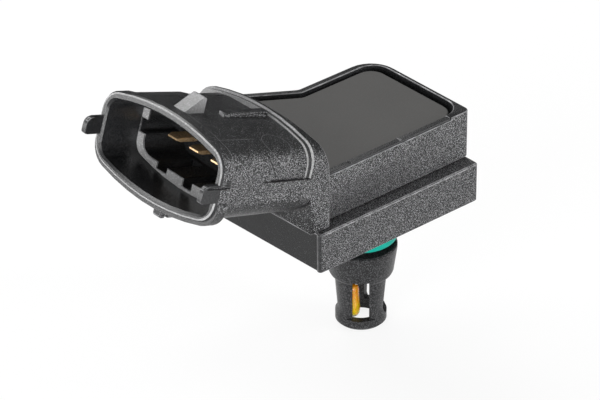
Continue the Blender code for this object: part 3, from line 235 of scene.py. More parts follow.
# a thin witness line of the mould between two points
def makeSeamGroup():
    group, given, out = newGroup("witnessLine", {
        "Coordinates": (0.0, 0.0, 0.0), "Start": (0.0, 0.0, 0.0), "End": (1.0, 0.0, 0.0),
        "Width": 0.1}, ["Mask"])
    reach = calcVector(group, "SUBTRACT", given["End"], given["Start"])
    here = calcVector(group, "SUBTRACT", given["Coordinates"], given["Start"])
    covered, whole = (calcVector(group, "DOT_PRODUCT", offset, reach) for offset in (here, reach))
    share = calc(group, "DIVIDE", covered, whole)
    held = calc(group, "MINIMUM", calc(group, "MAXIMUM", share, 0.0), 1.0)
    nearest = addNode(group, "ShaderNodeVectorMath", operation="SCALE")
    feed(group, reach, nearest.inputs[0])
    feed(group, held, nearest.inputs["Scale"])
    away = calcVector(group, "LENGTH", calcVector(group, "SUBTRACT", here, nearest.outputs[0]))
    feed(group, lineMask(group, away, given["Width"]), out["Mask"])
    return group


# the round mark of an ejector pin
def makeEjectorGroup():
    group, given, out = newGroup("ejectorMark", {
        "Coordinates": (0.0, 0.0, 0.0), "Centre": (0.0, 0.0, 0.0), "Radius": 2.6, "Width": 0.1}, ["Mask"])
    radius = calcVector(group, "LENGTH", calcVector(group, "SUBTRACT", given["Coordinates"], given["Centre"]))
    away = calc(group, "ABSOLUTE", calc(group, "SUBTRACT", radius, given["Radius"]))
    feed(group, lineMask(group, away, given["Width"]), out["Mask"])
    return group


mouldGrain = makeGrainGroup(grainValues)
turnedRings = makeRingsGroup()
witnessLine = makeSeamGroup()
ejectorMark = makeEjectorGroup()


# marks of the mould on the shroud, in mm along, across and up from the mouth's centre
shroudMarks = {
    "mouth": (-44.55 * mm, 0.0, 25.1 * mm),
    "pitch": radians(18.3),
    "ejector": {"Centre": (14.4, -11.7, 0.0), "Radius": 2.65, "Width": 0.09},
    "seam": {"Start": (2.4, -10.1, 0.0), "End": (10.6, -10.1, 0.0), "Width": 0.09},
    "sideStepShade": {"Start": (10.4, 0.0, 5.9), "End": (12.8, 0.0, 1.65), "Width": 1.6 * 0.09},
    "strength": 0.30,
    "topReach": (3.0, 3.5),               # the ejector mark and the seam are on the top alone
    "sideReach": (-10.0, -11.0),          # the step is on the near side alone
}


def marksOnShroud(tree, coordinates, values):
    placed = mapped(tree, coordinates, "TEXTURE", Location=values["mouth"],
                    Rotation=(0.0, values["pitch"], 0.0), Scale=(mm, mm, mm))
    fromTop = calcVector(tree, "MULTIPLY", placed, (1.0, 1.0, 0.0))
    fromSide = calcVector(tree, "MULTIPLY", placed, (1.0, 0.0, 1.0))
    parts = splitVector(tree, placed)
    ejector = useGroup(tree, ejectorMark, dict(values["ejector"], Coordinates=fromTop))["Mask"]
    seam = useGroup(tree, witnessLine, dict(values["seam"], Coordinates=fromTop))["Mask"]
    step = useGroup(tree, witnessLine, dict(values["sideStepShade"], Coordinates=fromSide))["Mask"]
    onTop = spread(tree, parts["Z"], *values["topReach"])
    onSide = spread(tree, parts["Y"], *values["sideReach"])
    drawn = calc(tree, "MULTIPLY", calc(tree, "MAXIMUM", ejector, seam), onTop)
    return calc(tree, "MULTIPLY", drawn, values["strength"]), calc(tree, "MULTIPLY", step, onSide)


# rises from 0 to most where a face turns towards a direction
def turnedTowards(tree, direction, reach, most):
    normal = addNode(tree, "ShaderNodeNewGeometry").outputs["Normal"]
    towards = calcVector(tree, "DOT_PRODUCT", normal, direction)
    return spread(tree, towards, *reach, 0.0, most, "SMOOTHSTEP")


# the shared grain: its height, and a colour with light points in it
def grained(tree, coordinates, values, points):
    grain = useGroup(tree, mouldGrain, {
        "Coordinates": coordinates, "Grain Size": values["grain"], "Points From": points[0],
        "Points Full": points[1], "Mottle": values["mottle"]})
    toned = blendColour(tree, 1.0, values["colour"], grain["Tone"], "MULTIPLY")
    return grain["Height"], blendColour(tree, grain["Points"], toned, values["light"])


grainHeights = (0.2, 1.1)       # from the pits to the peaks of the grain


# every black moulding is the same recipe with its own values
def mouldedPlastic(name, values, marks=None):
    material, tree, shader, coordinates = newMaterial(name)
    # painted shade: the light points get sparser on faces turned up or down, and on the base's faces turned
    # to the left, so that these faces read darker
    smooth = turnedTowards(tree, values["paintedShadeSide"], values["paintedShadeReach"], values["paintedShadeSparser"])
    paintedUnderShade = turnedTowards(tree, values["paintedShadeUnderSide"], values["paintedShadeUnderReach"], values["paintedShadeSparser"])
    paintedShadeSparser = calc(tree, "MAXIMUM", smooth, paintedUnderShade)
    points = [calc(tree, "ADD", paintedShadeSparser, limit) for limit in values["points"]]
    grain, colour = grained(tree, coordinates, values, points)
    height = grain
    if marks:
        mask, step = marksOnShroud(tree, coordinates, marks)
        # the ejector ring and the seam take the pale edge colour, a painted highlight, on a slight rise; the
        # step on the near side is a thin line of the faces' own dark colour without light points, a painted
        # shade, set into the relief
        colour = blendColour(tree, mask, colour, values["edgeHighlightColour"])
        colour = blendColour(tree, step, colour, values["colour"])
        height = calc(tree, "SUBTRACT", calc(tree, "ADD", height, mask), step)
    low, high = values["roughness"]
    feedAll(tree, shader, {
        "Base Color": colour, "Roughness": spread(tree, grain, *grainHeights, high, low),
        "Specular IOR Level": values["specular"]})
    bumped(tree, shader, height, values["bump"], values["depth"] * mm)
    return material


# the narrow rounding of a moulding's edges: smoother than its faces and paler by a painted highlight, a
# little uneven;
# the painted highlight is left off the upright edge at the left front, which keeps the faces' dark colour
paintedEdgeHighlight = {
    "scale": 700.0, "detail": 3.0, "reach": (0.35, 0.65), "roughness": (0.34, 0.22),
    "noHighlightSide": (-0.707, -0.707, 0.0), "noHighlightReach": (0.6, 0.95), "noHighlightShare": 0.85,
}


def mouldedEdge(name, values, edgeHighlightValues):
    material, tree, shader, coordinates = newMaterial(name)
    highlightUneven = spread(tree, noise(tree, coordinates, edgeHighlightValues["scale"], edgeHighlightValues["detail"]), *edgeHighlightValues["reach"])
    pale = blendColour(tree, highlightUneven, values["edgeHighlightLow"], values["edgeHighlightColour"])
    # no painted highlight where an edge turns towards the left front
    dark = turnedTowards(tree, edgeHighlightValues["noHighlightSide"], edgeHighlightValues["noHighlightReach"], edgeHighlightValues["noHighlightShare"])
    feedAll(tree, shader, {
        "Base Color": blendColour(tree, dark, pale, values["colour"]),
        "Roughness": spread(tree, highlightUneven, 0.0, 1.0, *edgeHighlightValues["roughness"]),
        "Specular IOR Level": values["specular"]})
    return material


# grain and depth are in mm
housingFinish = {
    "colour": (0.009, 0.0093, 0.010), "light": (0.36, 0.36, 0.37),
    "edgeHighlightColour": (0.36, 0.36, 0.37), "edgeHighlightLow": (0.13, 0.13, 0.135),
    "grain": 0.155, "points": (0.54, 0.585), "mottle": 0.3,
    "roughness": (0.32, 0.46), "bump": 0.7, "depth": 0.05, "specular": 0.26,
    # painted shade: fewer light points on faces turned up and down
    "paintedShadeSide": (0.314, 0.0, 0.949), "paintedShadeReach": (0.55, 0.97), "paintedShadeSparser": 0.08,
    "paintedShadeUnderSide": (-0.314, 0.0, -0.949), "paintedShadeUnderReach": (0.0, 0.45),
}
baseFinish = dict(
    housingFinish, colour=(0.010, 0.0103, 0.011), light=(0.31, 0.31, 0.32), grain=0.145, mottle=0.35,
    # painted shade: fewer light points on the base's faces turned to the left
    paintedShadeSide=(-1.0, 0.0, 0.0), paintedShadeReach=(0.3, 0.9), paintedShadeSparser=0.16)
coverFinish = dict(
    housingFinish, colour=(0.074, 0.0725, 0.070), light=(0.095, 0.093, 0.090),
    edgeHighlightColour=(0.11, 0.11, 0.105), edgeHighlightLow=(0.07, 0.07, 0.07), grain=0.15, points=(0.50, 0.80), mottle=0.06,
    roughness=(0.55, 0.65), bump=0.12, depth=0.02, specular=0.3, paintedShadeSparser=0.0)

# what differs where the mould isn't grained
smoothChanges = {
    "colour": (0.014, 0.0145, 0.0155), "light": (0.060, 0.060, 0.063), "grain": 0.13,
    "roughness": (0.24, 0.34), "bump": 0.35, "depth": 0.02, "specular": 0.36}
portChanges = {
    "colour": (0.011, 0.0112, 0.012), "light": (0.085, 0.085, 0.089), "grain": 0.18,
    "roughness": (0.30, 0.42), "bump": 0.6, "depth": 0.04, "specular": 0.27, "paintedShadeSparser": 0.0}
# the lug: a pale grey that is a painted reflection on the black plastic
paintedReflectionChanges = {
    "colour": (0.24, 0.24, 0.243), "light": (0.33, 0.33, 0.332), "grain": 0.22,
    "roughness": (0.24, 0.34), "bump": 0.3, "depth": 0.02, "paintedShadeSparser": 0.0}
polishedChanges = {
    "colour": (0.011, 0.0112, 0.012), "light": (0.080, 0.080, 0.083), "grain": 0.16,
    "roughness": (0.20, 0.34), "bump": 0.35, "depth": 0.02, "specular": 0.5}
# paler still: a painted highlight on the ledge inside the mouth, the rim's outer slope and the collar's front
# faces
paintedHighlightChanges = dict(paintedReflectionChanges, colour=(0.40, 0.40, 0.403), light=(0.55, 0.55, 0.553))
print("plastics ready")


# how much flat there is beside an edge, so that narrow ledges get a smaller rounding
def roomBeside(edge):
    start = edge.verts[0].co
    line = (edge.verts[1].co - start).normalized()
    rooms = []
    for side in edge.link_faces:
        offsets = [corner.co - start for corner in side.verts]
        rooms.append(max((offset - line * offset.dot(line)).length for offset in offsets))
    return min(rooms)


# where a triangle of a finished rounding points away from its face, the rounding has folded
foldValues = {"leastArea": 1e-12, "agreement": 0.2, "near": 0.25 * mm, "rounds": 5, "firstCut": 0.5}


def foldedPlaces(piece, values):
    bpy.context.view_layer.update()
    ready = piece.evaluated_get(bpy.context.evaluated_depsgraph_get())
    mesh = ready.to_mesh()
    mesh.calc_loop_triangles()
    places = []
    for triangle in mesh.loop_triangles:
        a, b, c = (mesh.vertices[corner].co for corner in triangle.vertices)
        normal = (b - a).cross(c - a)
        face = mesh.polygons[triangle.polygon_index].normal
        if normal.length > values["leastArea"] and normal.normalized().dot(face) < values["agreement"]:
            places.append((a, b, c))
    ready.to_mesh_clear()
    return places


# edges beside a folded place get half their rounding, and none if that isn't enough
def easeFolds(piece, values):
    weights = piece.data.attributes["bevel_weight_edge"].data
    points = [corner.co for corner in piece.data.vertices]
    for attempt in range(values["rounds"]):
        places = foldedPlaces(piece, values)
        if not places:
            break
        for edge in piece.data.edges:
            if weights[edge.index].value == 0.0:
                continue
            start, end = (points[corner] for corner in edge.vertices)
            line = end - start
            for corner in (corner for place in places for corner in place):
                share = max(0.0, min(1.0, (corner - start).dot(line) / line.length_squared))
                if (start + line * share - corner).length < values["near"]:
                    kept = 0.0 if attempt else values["firstCut"] * weights[edge.index].value
                    weights[edge.index].value = kept
                    break
    print(piece.name, "folded faces left:", len(foldedPlaces(piece, values)))


# a moulding's material slots; the faces with the painted reflection and those with the painted highlight are
# shaded flat
grainedSlot, edgeSlot, smoothSlot, paintedReflectionSlot, polishedSlot, paintedHighlightSlot = range(6)

# the housing's places in mm: along, across and up from the mouth's centre, or in the part's own x and z
housingPlaces = {
    "keysTo": -0.5, "rimTo": 0.75, "crispRimTo": 0.9,
    "collar": (17.4, 21.1), "collarStep": 19.7,
    "lug": (2.5, 7.2), "lugUp": 8.3,
    "ledge": (3.0, 14.0), "ledgeUp": 8.0,
    "socket": (8.3, 30.0), "socketAcross": 14.2, "socketUp": 6.9, "socketX": -22.0, "socketZ": 11.0,
    "sides": (1.2, 16.5), "sidesAcross": 14.0, "sidesUp": 6.0,
    "shroudZ": 9.0, "recessX": -20.0, "recessZ": 15.0,
}

# how far a face looks out of the mouth, from -1 to 1; for inner walls how far it looks away from the
# shroud's middle, times its distance from there
housingFacing = {
    "rimFront": 0.97, "rimSlope": 0.75, "rimWall": 0.3, "collar": 0.8, "ledge": 0.9, "inner": -0.3,
}

# share of the full rounding, and how sharply two faces may meet and still be shaded as one
roundingShares = {
    "crisp": 0.0, "keys": 0.5, "sides": 0.4, "cage": 0.0, "port": 0.4, "flange": 0.65, "full": 1.0,
}
shadingTurns = {"crisp": radians(18), "plain": radians(28)}

mouthCentre = Vector(shroudMarks["mouth"]) / mm
shroudAxis = Vector((cos(shroudMarks["pitch"]), 0.0, -sin(shroudMarks["pitch"])))
shroudUp = Vector((sin(shroudMarks["pitch"]), 0.0, cos(shroudMarks["pitch"])))


def onShroud(point):
    place = point - mouthCentre
    return place.dot(shroudAxis), place.y, place.dot(shroudUp)


def between(value, limits):
    return limits[0] < value < limits[1]


# each face's finish; the lug gets the painted reflection, and the ledge inside the mouth, the rim's outer
# slope and the collar's front faces get the painted highlight
def housingArea(centre, normal):
    at, limits = housingPlaces, housingFacing
    along, across, up = onShroud(centre)
    facing = -normal.dot(shroudAxis)
    outwards = normal.y * across + normal.dot(shroudUp) * up
    if centre.z > at["recessZ"] and centre.x > at["recessX"]:            # the top and the lid's recess
        return smoothSlot
    if along > at["collar"][1]:
        return grainedSlot
    if between(along, at["ledge"]) and facing > limits["ledge"] and abs(up) < at["ledgeUp"]:
        return paintedHighlightSlot
    if up > at["lugUp"] and between(along, at["lug"]):
        return paintedReflectionSlot
    if along < at["keysTo"]:
        return smoothSlot
    if along < at["rimTo"]:
        if facing > limits["rimFront"] or facing < limits["rimWall"]:
            return polishedSlot
        return paintedHighlightSlot if facing > limits["rimSlope"] and outwards >= 0.0 else smoothSlot
    if along > at["collarStep"]:
        return paintedHighlightSlot if facing > limits["collar"] else smoothSlot
    if along > at["collar"][0]:
        return polishedSlot
    return smoothSlot if outwards < limits["inner"] or facing > limits["ledge"] else grainedSlot


def housingShare(point):
    at, shares = housingPlaces, roundingShares
    along, across, up = onShroud(point)
    inside = abs(across) < at["socketAcross"] and abs(up) < at["socketUp"] and between(along, at["socket"])
    if inside and point.z > at["socketZ"] and point.x < at["socketX"]:
        return shares["crisp"]
    shroud = point.z > at["shroudZ"]
    rim = between(along, (at["keysTo"], at["crispRimTo"]))
    if shroud and (rim or between(along, at["collar"])):
        return shares["crisp"]
    if shroud and along < at["keysTo"]:
        return shares["keys"]
    sides = between(along, at["sides"]) and up < at["sidesUp"] and abs(across) > at["sidesAcross"]
    return shares["sides"] if sides else shares["full"]


def housingTurn(point):
    along = onShroud(point)[0]
    crisp = along < housingPlaces["crispRimTo"] or between(along, housingPlaces["collar"])
    return shadingTurns["crisp" if crisp and point.z > housingPlaces["shroudZ"] else "plain"]


basePlaces = {"flangeTo": -0.4, "portTo": -9.0, "underside": -0.7}       # heights in mm, and a normal's z


def baseArea(centre, normal):
    smooth = centre.z < basePlaces["flangeTo"] or normal.z < basePlaces["underside"]
    return smoothSlot if smooth else grainedSlot


def baseShare(point):
    if point.z < basePlaces["portTo"]:
        return roundingShares["cage"]
    return roundingShares["port" if point.z < basePlaces["flangeTo"] else "flange"]


# widths are in metres; room is the share of the flat beside an edge that its rounding may take
mouldingValues = {
    "width": 0.16 * mm, "segments": 2, "merge": 0.002 * mm, "flat": radians(0.3), "room": 0.42, "least": 0.15,
    "marks": None, "otherFinishes": {},
    "area": lambda centre, normal: grainedSlot,
    "share": lambda point: roundingShares["full"],
    "turn": lambda point: shadingTurns["plain"],
}


# gives every convex edge its rounding, and says which edges are shaded as one
def weighEdges(mesh, values):
    work = bmesh.new()
    work.from_mesh(mesh)
    bmesh.ops.remove_doubles(work, verts=work.verts, dist=values["merge"])
    bmesh.ops.dissolve_limit(work, angle_limit=values["flat"], verts=work.verts, edges=work.edges)
    weight = work.edges.layers.float.new("bevel_weight_edge")
    for edge in work.edges:
        turn = edge.calc_face_angle_signed(0.0) if edge.is_manifold else 0.0
        limit = min(values["turn"](corner.co / mm) for corner in edge.verts)
        if turn > limit:
            room = min(1.0, values["room"] * roomBeside(edge) / values["width"])
            room *= min(values["share"](corner.co / mm) for corner in edge.verts)
            edge[weight] = room if room > values["least"] else 0.0
        edge.smooth = abs(turn) < limit or edge[weight] > 0.0
    work.to_mesh(mesh)
    work.free()


def dressMoulding(mesh, name, values):
    finish = values["finish"]
    mesh.materials.clear()
    mesh.materials.append(mouldedPlastic(name + "Grained", finish, values["marks"]))
    mesh.materials.append(mouldedEdge(name + "Edge", finish, paintedEdgeHighlight))
    for ending, changes in values["otherFinishes"].items():
        mesh.materials.append(mouldedPlastic(name + ending, dict(finish, **changes)))
    for polygon in mesh.polygons:
        polygon.material_index = values["area"](polygon.center / mm, polygon.normal)
        polygon.use_smooth = polygon.material_index not in (paintedReflectionSlot, paintedHighlightSlot)


# a merged copy of a CAD node with its convex edges rounded, which stands for the node
def roundedCopy(node, name, values):
    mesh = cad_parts[node].data.copy()
    mesh.name = name
    weighEdges(mesh, values)
    dressMoulding(mesh, name, values)
    piece = bpy.data.objects.new(name, mesh)
    scene.collection.objects.link(piece)
    bevel = piece.modifiers.new("roundedEdges", "BEVEL")
    bevel.limit_method = "WEIGHT"
    bevel.width = values["width"]
    bevel.segments = values["segments"]
    bevel.use_clamp_overlap = False
    bevel.material = edgeSlot
    easeFolds(piece, foldValues)
    shading = piece.modifiers.new("evenShading", "WEIGHTED_NORMAL")
    shading.keep_sharp = True
    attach(piece, "root")
    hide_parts(node)
    return piece


# the other finishes come in the order of their slots
housingValues = dict(
    mouldingValues, finish=housingFinish, marks=shroudMarks,
    otherFinishes={
        "Smooth": smoothChanges, "PaintedReflection": paintedReflectionChanges, "Polished": polishedChanges, "Bright": paintedHighlightChanges},
    area=housingArea, share=housingShare, turn=housingTurn)
baseValues = dict(
    mouldingValues, finish=baseFinish, otherFinishes={"Smooth": portChanges}, area=baseArea, share=baseShare)
coverValues = dict(mouldingValues, finish=coverFinish, width=0.12 * mm)

roundedCopy("housing_upper", "housingShell", housingValues)
roundedCopy("port_body", "baseMoulding", baseValues)
roundedCopy("cover_lid", "coverPlate", coverValues)
print("mouldings rounded")


# finish of the smaller pieces: one recipe, with grain in colour, gloss and relief
plainValues = {
    "points": (0.45, 0.75), "mottle": 0.2, "bump": 0.2, "depth": 0.02, "metallic": 0.0, "coat": 0.0,
    "specular": 0.5,
}


def plainFinish(name, changes):
    values = dict(plainValues, **changes)
    material, tree, shader, coordinates = newMaterial(name)
    height, colour = grained(tree, coordinates, values, values["points"])
    feedAll(tree, shader, {
        "Base Color": colour, "Roughness": spread(tree, height, *grainHeights, *values["roughness"]),
        "Metallic": values["metallic"], "Coat Weight": values["coat"],
        "Specular IOR Level": values["specular"]})
    bumped(tree, shader, height, values["bump"], values["depth"] * mm)
    return material


def finishedPiece(name, mesh, material, slotName, *nodes):
    mesh.name = name
    mesh.materials.clear()
    mesh.materials.append(material)
    piece = bpy.data.objects.new(name, mesh)
    scene.collection.objects.link(piece)
    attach(piece, "root")
    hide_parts(*nodes)
    return piece


# a closed turned body: its outline is a list of (radius, height), from the bottom up or round a ring
def turnedMesh(outline, centre, steps, closedRing=False):
    work = bmesh.new()
    rows = []
    for radius, height in outline:
        if radius == 0.0:
            rows.append([work.verts.new((centre[0], centre[1], height))])
            continue
        rows.append([work.verts.new((centre[0] + radius * cos(2.0 * pi * step / steps),
                                     centre[1] + radius * sin(2.0 * pi * step / steps), height))
                     for step in range(steps)])
    if closedRing:
        rows.append(rows[0])
    for lower, upper in zip(rows, rows[1:]):
        for step in range(steps):
            after = (step + 1) % steps
            corners = [lower[step % len(lower)], lower[after % len(lower)],
                       upper[after % len(upper)], upper[step % len(upper)]]
            work.faces.new(list(dict.fromkeys(corners)))
    bmesh.ops.recalc_face_normals(work, faces=work.faces)
    mesh = bpy.data.meshes.new("turned")
    work.to_mesh(mesh)
    work.free()
    mesh.shade_smooth()
    return mesh


# O-ring: teal rubber, swept round its groove; sizes in mm
ringValues = {"middle": 5.45, "section": 1.05, "height": -7.45, "steps": 96, "around": 28}
ringRubber = {
    "colour": (0.002, 0.36, 0.28), "light": (0.004, 0.44, 0.35), "grain": 0.35, "mottle": 0.12,
    "roughness": (0.42, 0.55), "specular": 0.2, "bump": 0.15, "depth": 0.02,
}


def makeRing(values):
    outline = []
    for step in range(values["around"]):
        turn = 2.0 * pi * step / values["around"]
        outline.append(((values["middle"] + values["section"] * cos(turn)) * mm,
                        (values["height"] + values["section"] * sin(turn)) * mm))
    mesh = turnedMesh(outline, (0.0, 0.0), values["steps"], closedRing=True)
    return finishedPiece("sealingRing", mesh, plainFinish("ringRubber", ringRubber), "o_ring", "o_ring")


makeRing(ringValues)


# thermistor bead: a drop of amber resin, yellower at its lower end; the outline is in mm
beadValues = {
    "centre": (-1.75 * mm, 0.0), "steps": 40,
    "outline": [
        (0.0, -24.40), (0.50, -24.27), (0.88, -23.92), (1.10, -23.42), (1.17, -22.80), (1.15, -21.9),
        (1.08, -20.9), (1.01, -19.9), (0.98, -19.0), (0.93, -18.45), (0.78, -18.02), (0.50, -17.78),
        (0.0, -17.70)],
    "low": (1.0, 0.62, 0.02), "high": (1.0, 0.38, 0.01), "change": (-22.4 * mm, -17.9 * mm),
    "cloudScale": 900.0, "cloudDetail": 2.0, "cloudLift": 1.2 * mm, "cloudReach": (0.3, 0.7),
    "roughness": (0.22, 0.34), "bump": 0.2, "depth": 0.05, "inner": 0.35, "innerScale": 0.6 * mm,
    "coat": 0.7, "coatRoughness": 0.08,
}


def beadResin(values):
    material, tree, shader, coordinates = newMaterial("beadResin")
    cloud = noise(tree, coordinates, values["cloudScale"], values["cloudDetail"])
    height = calc(tree, "MULTIPLY_ADD", cloud, values["cloudLift"], splitVector(tree, coordinates)["Z"])
    share = spread(tree, height, *values["change"], kind="SMOOTHSTEP")
    feedAll(tree, shader, {
        "Base Color": blendColour(tree, share, values["low"], values["high"]),
        "Roughness": spread(tree, cloud, *values["cloudReach"], *values["roughness"]),
        "Subsurface Weight": values["inner"], "Subsurface Scale": values["innerScale"],
        "Coat Weight": values["coat"], "Coat Roughness": values["coatRoughness"]})
    bumped(tree, shader, cloud, values["bump"], values["depth"] * mm)
    return material


def makeBead(values):
    outline = [(radius * mm, height * mm) for radius, height in values["outline"]]
    mesh = turnedMesh(outline, values["centre"], values["steps"])
    return finishedPiece("resinBead", mesh, beadResin(values), "bead", "thermistor_bead")


makeBead(beadValues)
print("O-ring and bead ready")


# connector blades: one bent strip with rounded corners, swept along its path and repeated across the
# socket; the path's sizes are in mm, its tip along and up from the mouth's centre
bladeValues = {
    "count": 4, "pitch": 5.58 * mm, "width": 2.8 * mm, "thickness": 0.8 * mm,
    "corner": 0.14 * mm, "cornerSteps": 3,
    "tip": (10.6, -0.65), "taper": 0.8, "kneeX": -22.0, "low": 11.4, "end": -14.0,
    "bend": 1.1, "bendSteps": 6,
    "tipShare": (0.82, 0.36), "tipReach": 0.05 * mm,
}
bladeMetal = {
    "colour": (0.83, 0.56, 0.30), "light": (0.92, 0.70, 0.44), "grain": 0.5, "mottle": 0.25,
    "roughness": (0.22, 0.38), "bump": 0.12, "depth": 0.02, "metallic": 0.75,
}


# the blade's middle line in the XZ plane, from its tip to its end, with its bends as short arcs
def bladePath(values, mouth, pitch):
    reach, rise = values["tip"]
    along, up = Vector((cos(pitch), -sin(pitch))), Vector((sin(pitch), cos(pitch)))
    tip = Vector((mouth[0] / mm, mouth[2] / mm)) + along * reach + up * rise
    inner = tip + along * values["taper"]
    knee = tip + along * ((values["kneeX"] - tip.x) / along.x)
    foot = Vector((values["kneeX"], values["low"]))
    corners = [inner, knee, foot, Vector((values["end"], values["low"]))]
    path = [tip, inner]
    for before, corner, after in zip(corners, corners[1:], corners[2:]):
        start = corner + (before - corner).normalized() * values["bend"]
        finish = corner + (after - corner).normalized() * values["bend"]
        for step in range(values["bendSteps"] + 1):
            share = step / values["bendSteps"]
            path.append(start * (1 - share) ** 2 + corner * 2 * share * (1 - share) + finish * share ** 2)
    path.append(corners[-1])
    return [(point.x * mm, 0.0, point.y * mm) for point in path]


def bladeTree():
    tree = bpy.data.node_groups.new("bladeRow", "GeometryNodeTree")
    face = tree.interface
    face.new_socket("Path", in_out="INPUT", socket_type="NodeSocketGeometry")
    for name, kind in (("Count", "Int"), ("Pitch", "Float"), ("Width", "Float"), ("Thickness", "Float"),
                       ("Corner", "Float"), ("Corner Steps", "Int"), ("Finish", "Material")):
        face.new_socket(name, in_out="INPUT", socket_type="NodeSocket" + kind)
    face.new_socket("Blades", in_out="OUTPUT", socket_type="NodeSocketGeometry")
    given = addNode(tree, "NodeGroupInput").outputs
    out = addNode(tree, "NodeGroupOutput").inputs

    # one strip
    line = addNode(tree, "GeometryNodeMeshToCurve")
    feed(tree, given["Path"], line.inputs[0])
    section = addNode(tree, "GeometryNodeCurvePrimitiveQuadrilateral")
    feedAll(tree, section, {"Width": given["Width"], "Height": given["Thickness"]})
    rounded = addNode(tree, "GeometryNodeFilletCurve", mode="POLY")
    feedAll(tree, rounded, {
        "Curve": section.outputs[0], "Count": given["Corner Steps"], "Radius": given["Corner"]})
    swept = addNode(tree, "GeometryNodeCurveToMesh")
    feedAll(tree, swept, {"Curve": line.outputs[0], "Profile Curve": rounded.outputs[0], "Fill Caps": True})

    # the row, centred on the middle of the socket
    span = calc(tree, "MULTIPLY", calc(tree, "SUBTRACT", given["Count"], 1.0), given["Pitch"])
    startPoint = addNode(tree, "ShaderNodeCombineXYZ")
    feed(tree, calc(tree, "MULTIPLY", span, -0.5), startPoint.inputs["Y"])
    stepAcross = addNode(tree, "ShaderNodeCombineXYZ")
    feed(tree, given["Pitch"], stepAcross.inputs["Y"])
    row = addNode(tree, "GeometryNodeMeshLine")
    feedAll(tree, row, {
        "Count": given["Count"], "Start Location": startPoint.outputs[0], "Offset": stepAcross.outputs[0]})
    placed = addNode(tree, "GeometryNodeInstanceOnPoints")
    feedAll(tree, placed, {"Points": row.outputs[0], "Instance": swept.outputs[0]})
    real = addNode(tree, "GeometryNodeRealizeInstances")
    feed(tree, placed.outputs[0], real.inputs[0])
    dressed = addNode(tree, "GeometryNodeSetMaterial")
    feedAll(tree, dressed, {"Geometry": real.outputs[0], "Material": given["Finish"]})
    feed(tree, dressed.outputs[0], out["Blades"])
    return tree


# runs a geometry tree on a carrier mesh and hands back the plain mesh
def grownMesh(tree, carrier, settings):
    holder = bpy.data.objects.new("carrier", carrier)
    scene.collection.objects.link(holder)
    modifier = holder.modifiers.new("grow", "NODES")
    modifier.node_group = tree
    for item in tree.interface.items_tree:
        if item.item_type == "SOCKET" and item.in_out == "INPUT" and item.name in settings:
            modifier[item.identifier] = settings[item.name]
    bpy.context.view_layer.update()
    ready = holder.evaluated_get(bpy.context.evaluated_depsgraph_get())
    mesh = bpy.data.meshes.new_from_object(ready)
    bpy.data.objects.remove(holder, do_unlink=True)
    return mesh


# narrows the tips and thins them to a wedge
def shapeTips(mesh, values, tip):
    work = bmesh.new()
    work.from_mesh(mesh)
    across, through = values["tipShare"]
    for corner in work.verts:
        offset = corner.co - tip
        if offset.dot(shroudAxis) < values["tipReach"]:
            middle = (round(corner.co.y / values["pitch"] - 0.5) + 0.5) * values["pitch"]
            corner.co.y = middle + (corner.co.y - middle) * across
            corner.co -= shroudUp * offset.dot(shroudUp) * (1.0 - through)
    bmesh.ops.recalc_face_normals(work, faces=work.faces)
    work.to_mesh(mesh)
    work.free()


def makeBlades(values, marks):
    points = bladePath(values, marks["mouth"], marks["pitch"])
    carrier = bpy.data.meshes.new("bladePath")
    carrier.from_pydata(points, [(place, place + 1) for place in range(len(points) - 1)], [])
    metal = plainFinish("bladeMetal", bladeMetal)
    mesh = grownMesh(bladeTree(), carrier, {
        "Count": values["count"], "Pitch": values["pitch"], "Width": values["width"],
        "Thickness": values["thickness"], "Corner": values["corner"],
        "Corner Steps": values["cornerSteps"], "Finish": metal})
    shapeTips(mesh, values, Vector(points[0]))
    for polygon in mesh.polygons:
        polygon.use_smooth = len(polygon.vertices) == 4          # the sides, not the caps
    return finishedPiece("connectorBlades", mesh, metal, "terminal",
                         "terminal_1", "terminal_2", "terminal_3", "terminal_4")


makeBlades(bladeValues, shroudMarks)
print("blades ready")


# mounting bush: turned steel, with its rings on the face and in the bore; sizes in mm but the centre
bushValues = {
    "centre": (-15.5 * mm, 26.0 * mm), "radius": 5.0, "bore": 3.3, "height": 7.6, "chamfer": 0.4,
    "round": 0.08, "ease": 0.3, "steps": 96, "crease": radians(25),
}
bushSteel = {
    "dark": (0.44, 0.45, 0.46), "light": (0.62, 0.62, 0.61), "pitch": 0.16, "uneven": 0.5,
    "heights": (0.0, 1.4), "roughness": (0.24, 0.40), "bump": 0.3, "depth": 0.01, "metallic": 1.0,
}


def turnedSteel(name, centre, values):
    material, tree, shader, coordinates = newMaterial(name)
    centred = mapped(tree, coordinates, Location=(-centre[0], -centre[1], 0.0))
    rings = useGroup(tree, turnedRings, {
        "Coordinates": centred, "Ring Pitch": values["pitch"], "Uneven": values["uneven"]})["Height"]
    feedAll(tree, shader, {
        "Base Color": blendColour(tree, rings, values["dark"], values["light"]),
        "Roughness": spread(tree, rings, *values["heights"], *values["roughness"]),
        "Metallic": values["metallic"]})
    bumped(tree, shader, rings, values["bump"], values["depth"] * mm)
    return material


def makeBush(values):
    outer, bore, top, cut, soft = (values[key] for key in ("radius", "bore", "height", "chamfer", "round"))
    ease = values["ease"] * soft
    outline = [
        (bore + cut, 0.0), (outer - cut, 0.0), (outer - ease, cut), (outer, cut + soft),
        (outer, top - cut - soft), (outer - ease, top - cut), (outer - cut, top - ease),
        (outer - cut - soft, top), (bore + cut + soft, top), (bore + cut, top - ease),
        (bore, top - cut), (bore, cut)]
    mesh = turnedMesh([(radius * mm, height * mm) for radius, height in outline],
                      values["centre"], values["steps"], closedRing=True)
    work = bmesh.new()
    work.from_mesh(mesh)
    for edge in work.edges:
        edge.smooth = edge.calc_face_angle(0.0) < values["crease"]
    work.to_mesh(mesh)
    work.free()
    steel = turnedSteel("bushSteel", values["centre"], bushSteel)
    return finishedPiece("mountingBush", mesh, steel, "bush", "mounting_bush")


makeBush(bushValues)
print("bush ready")


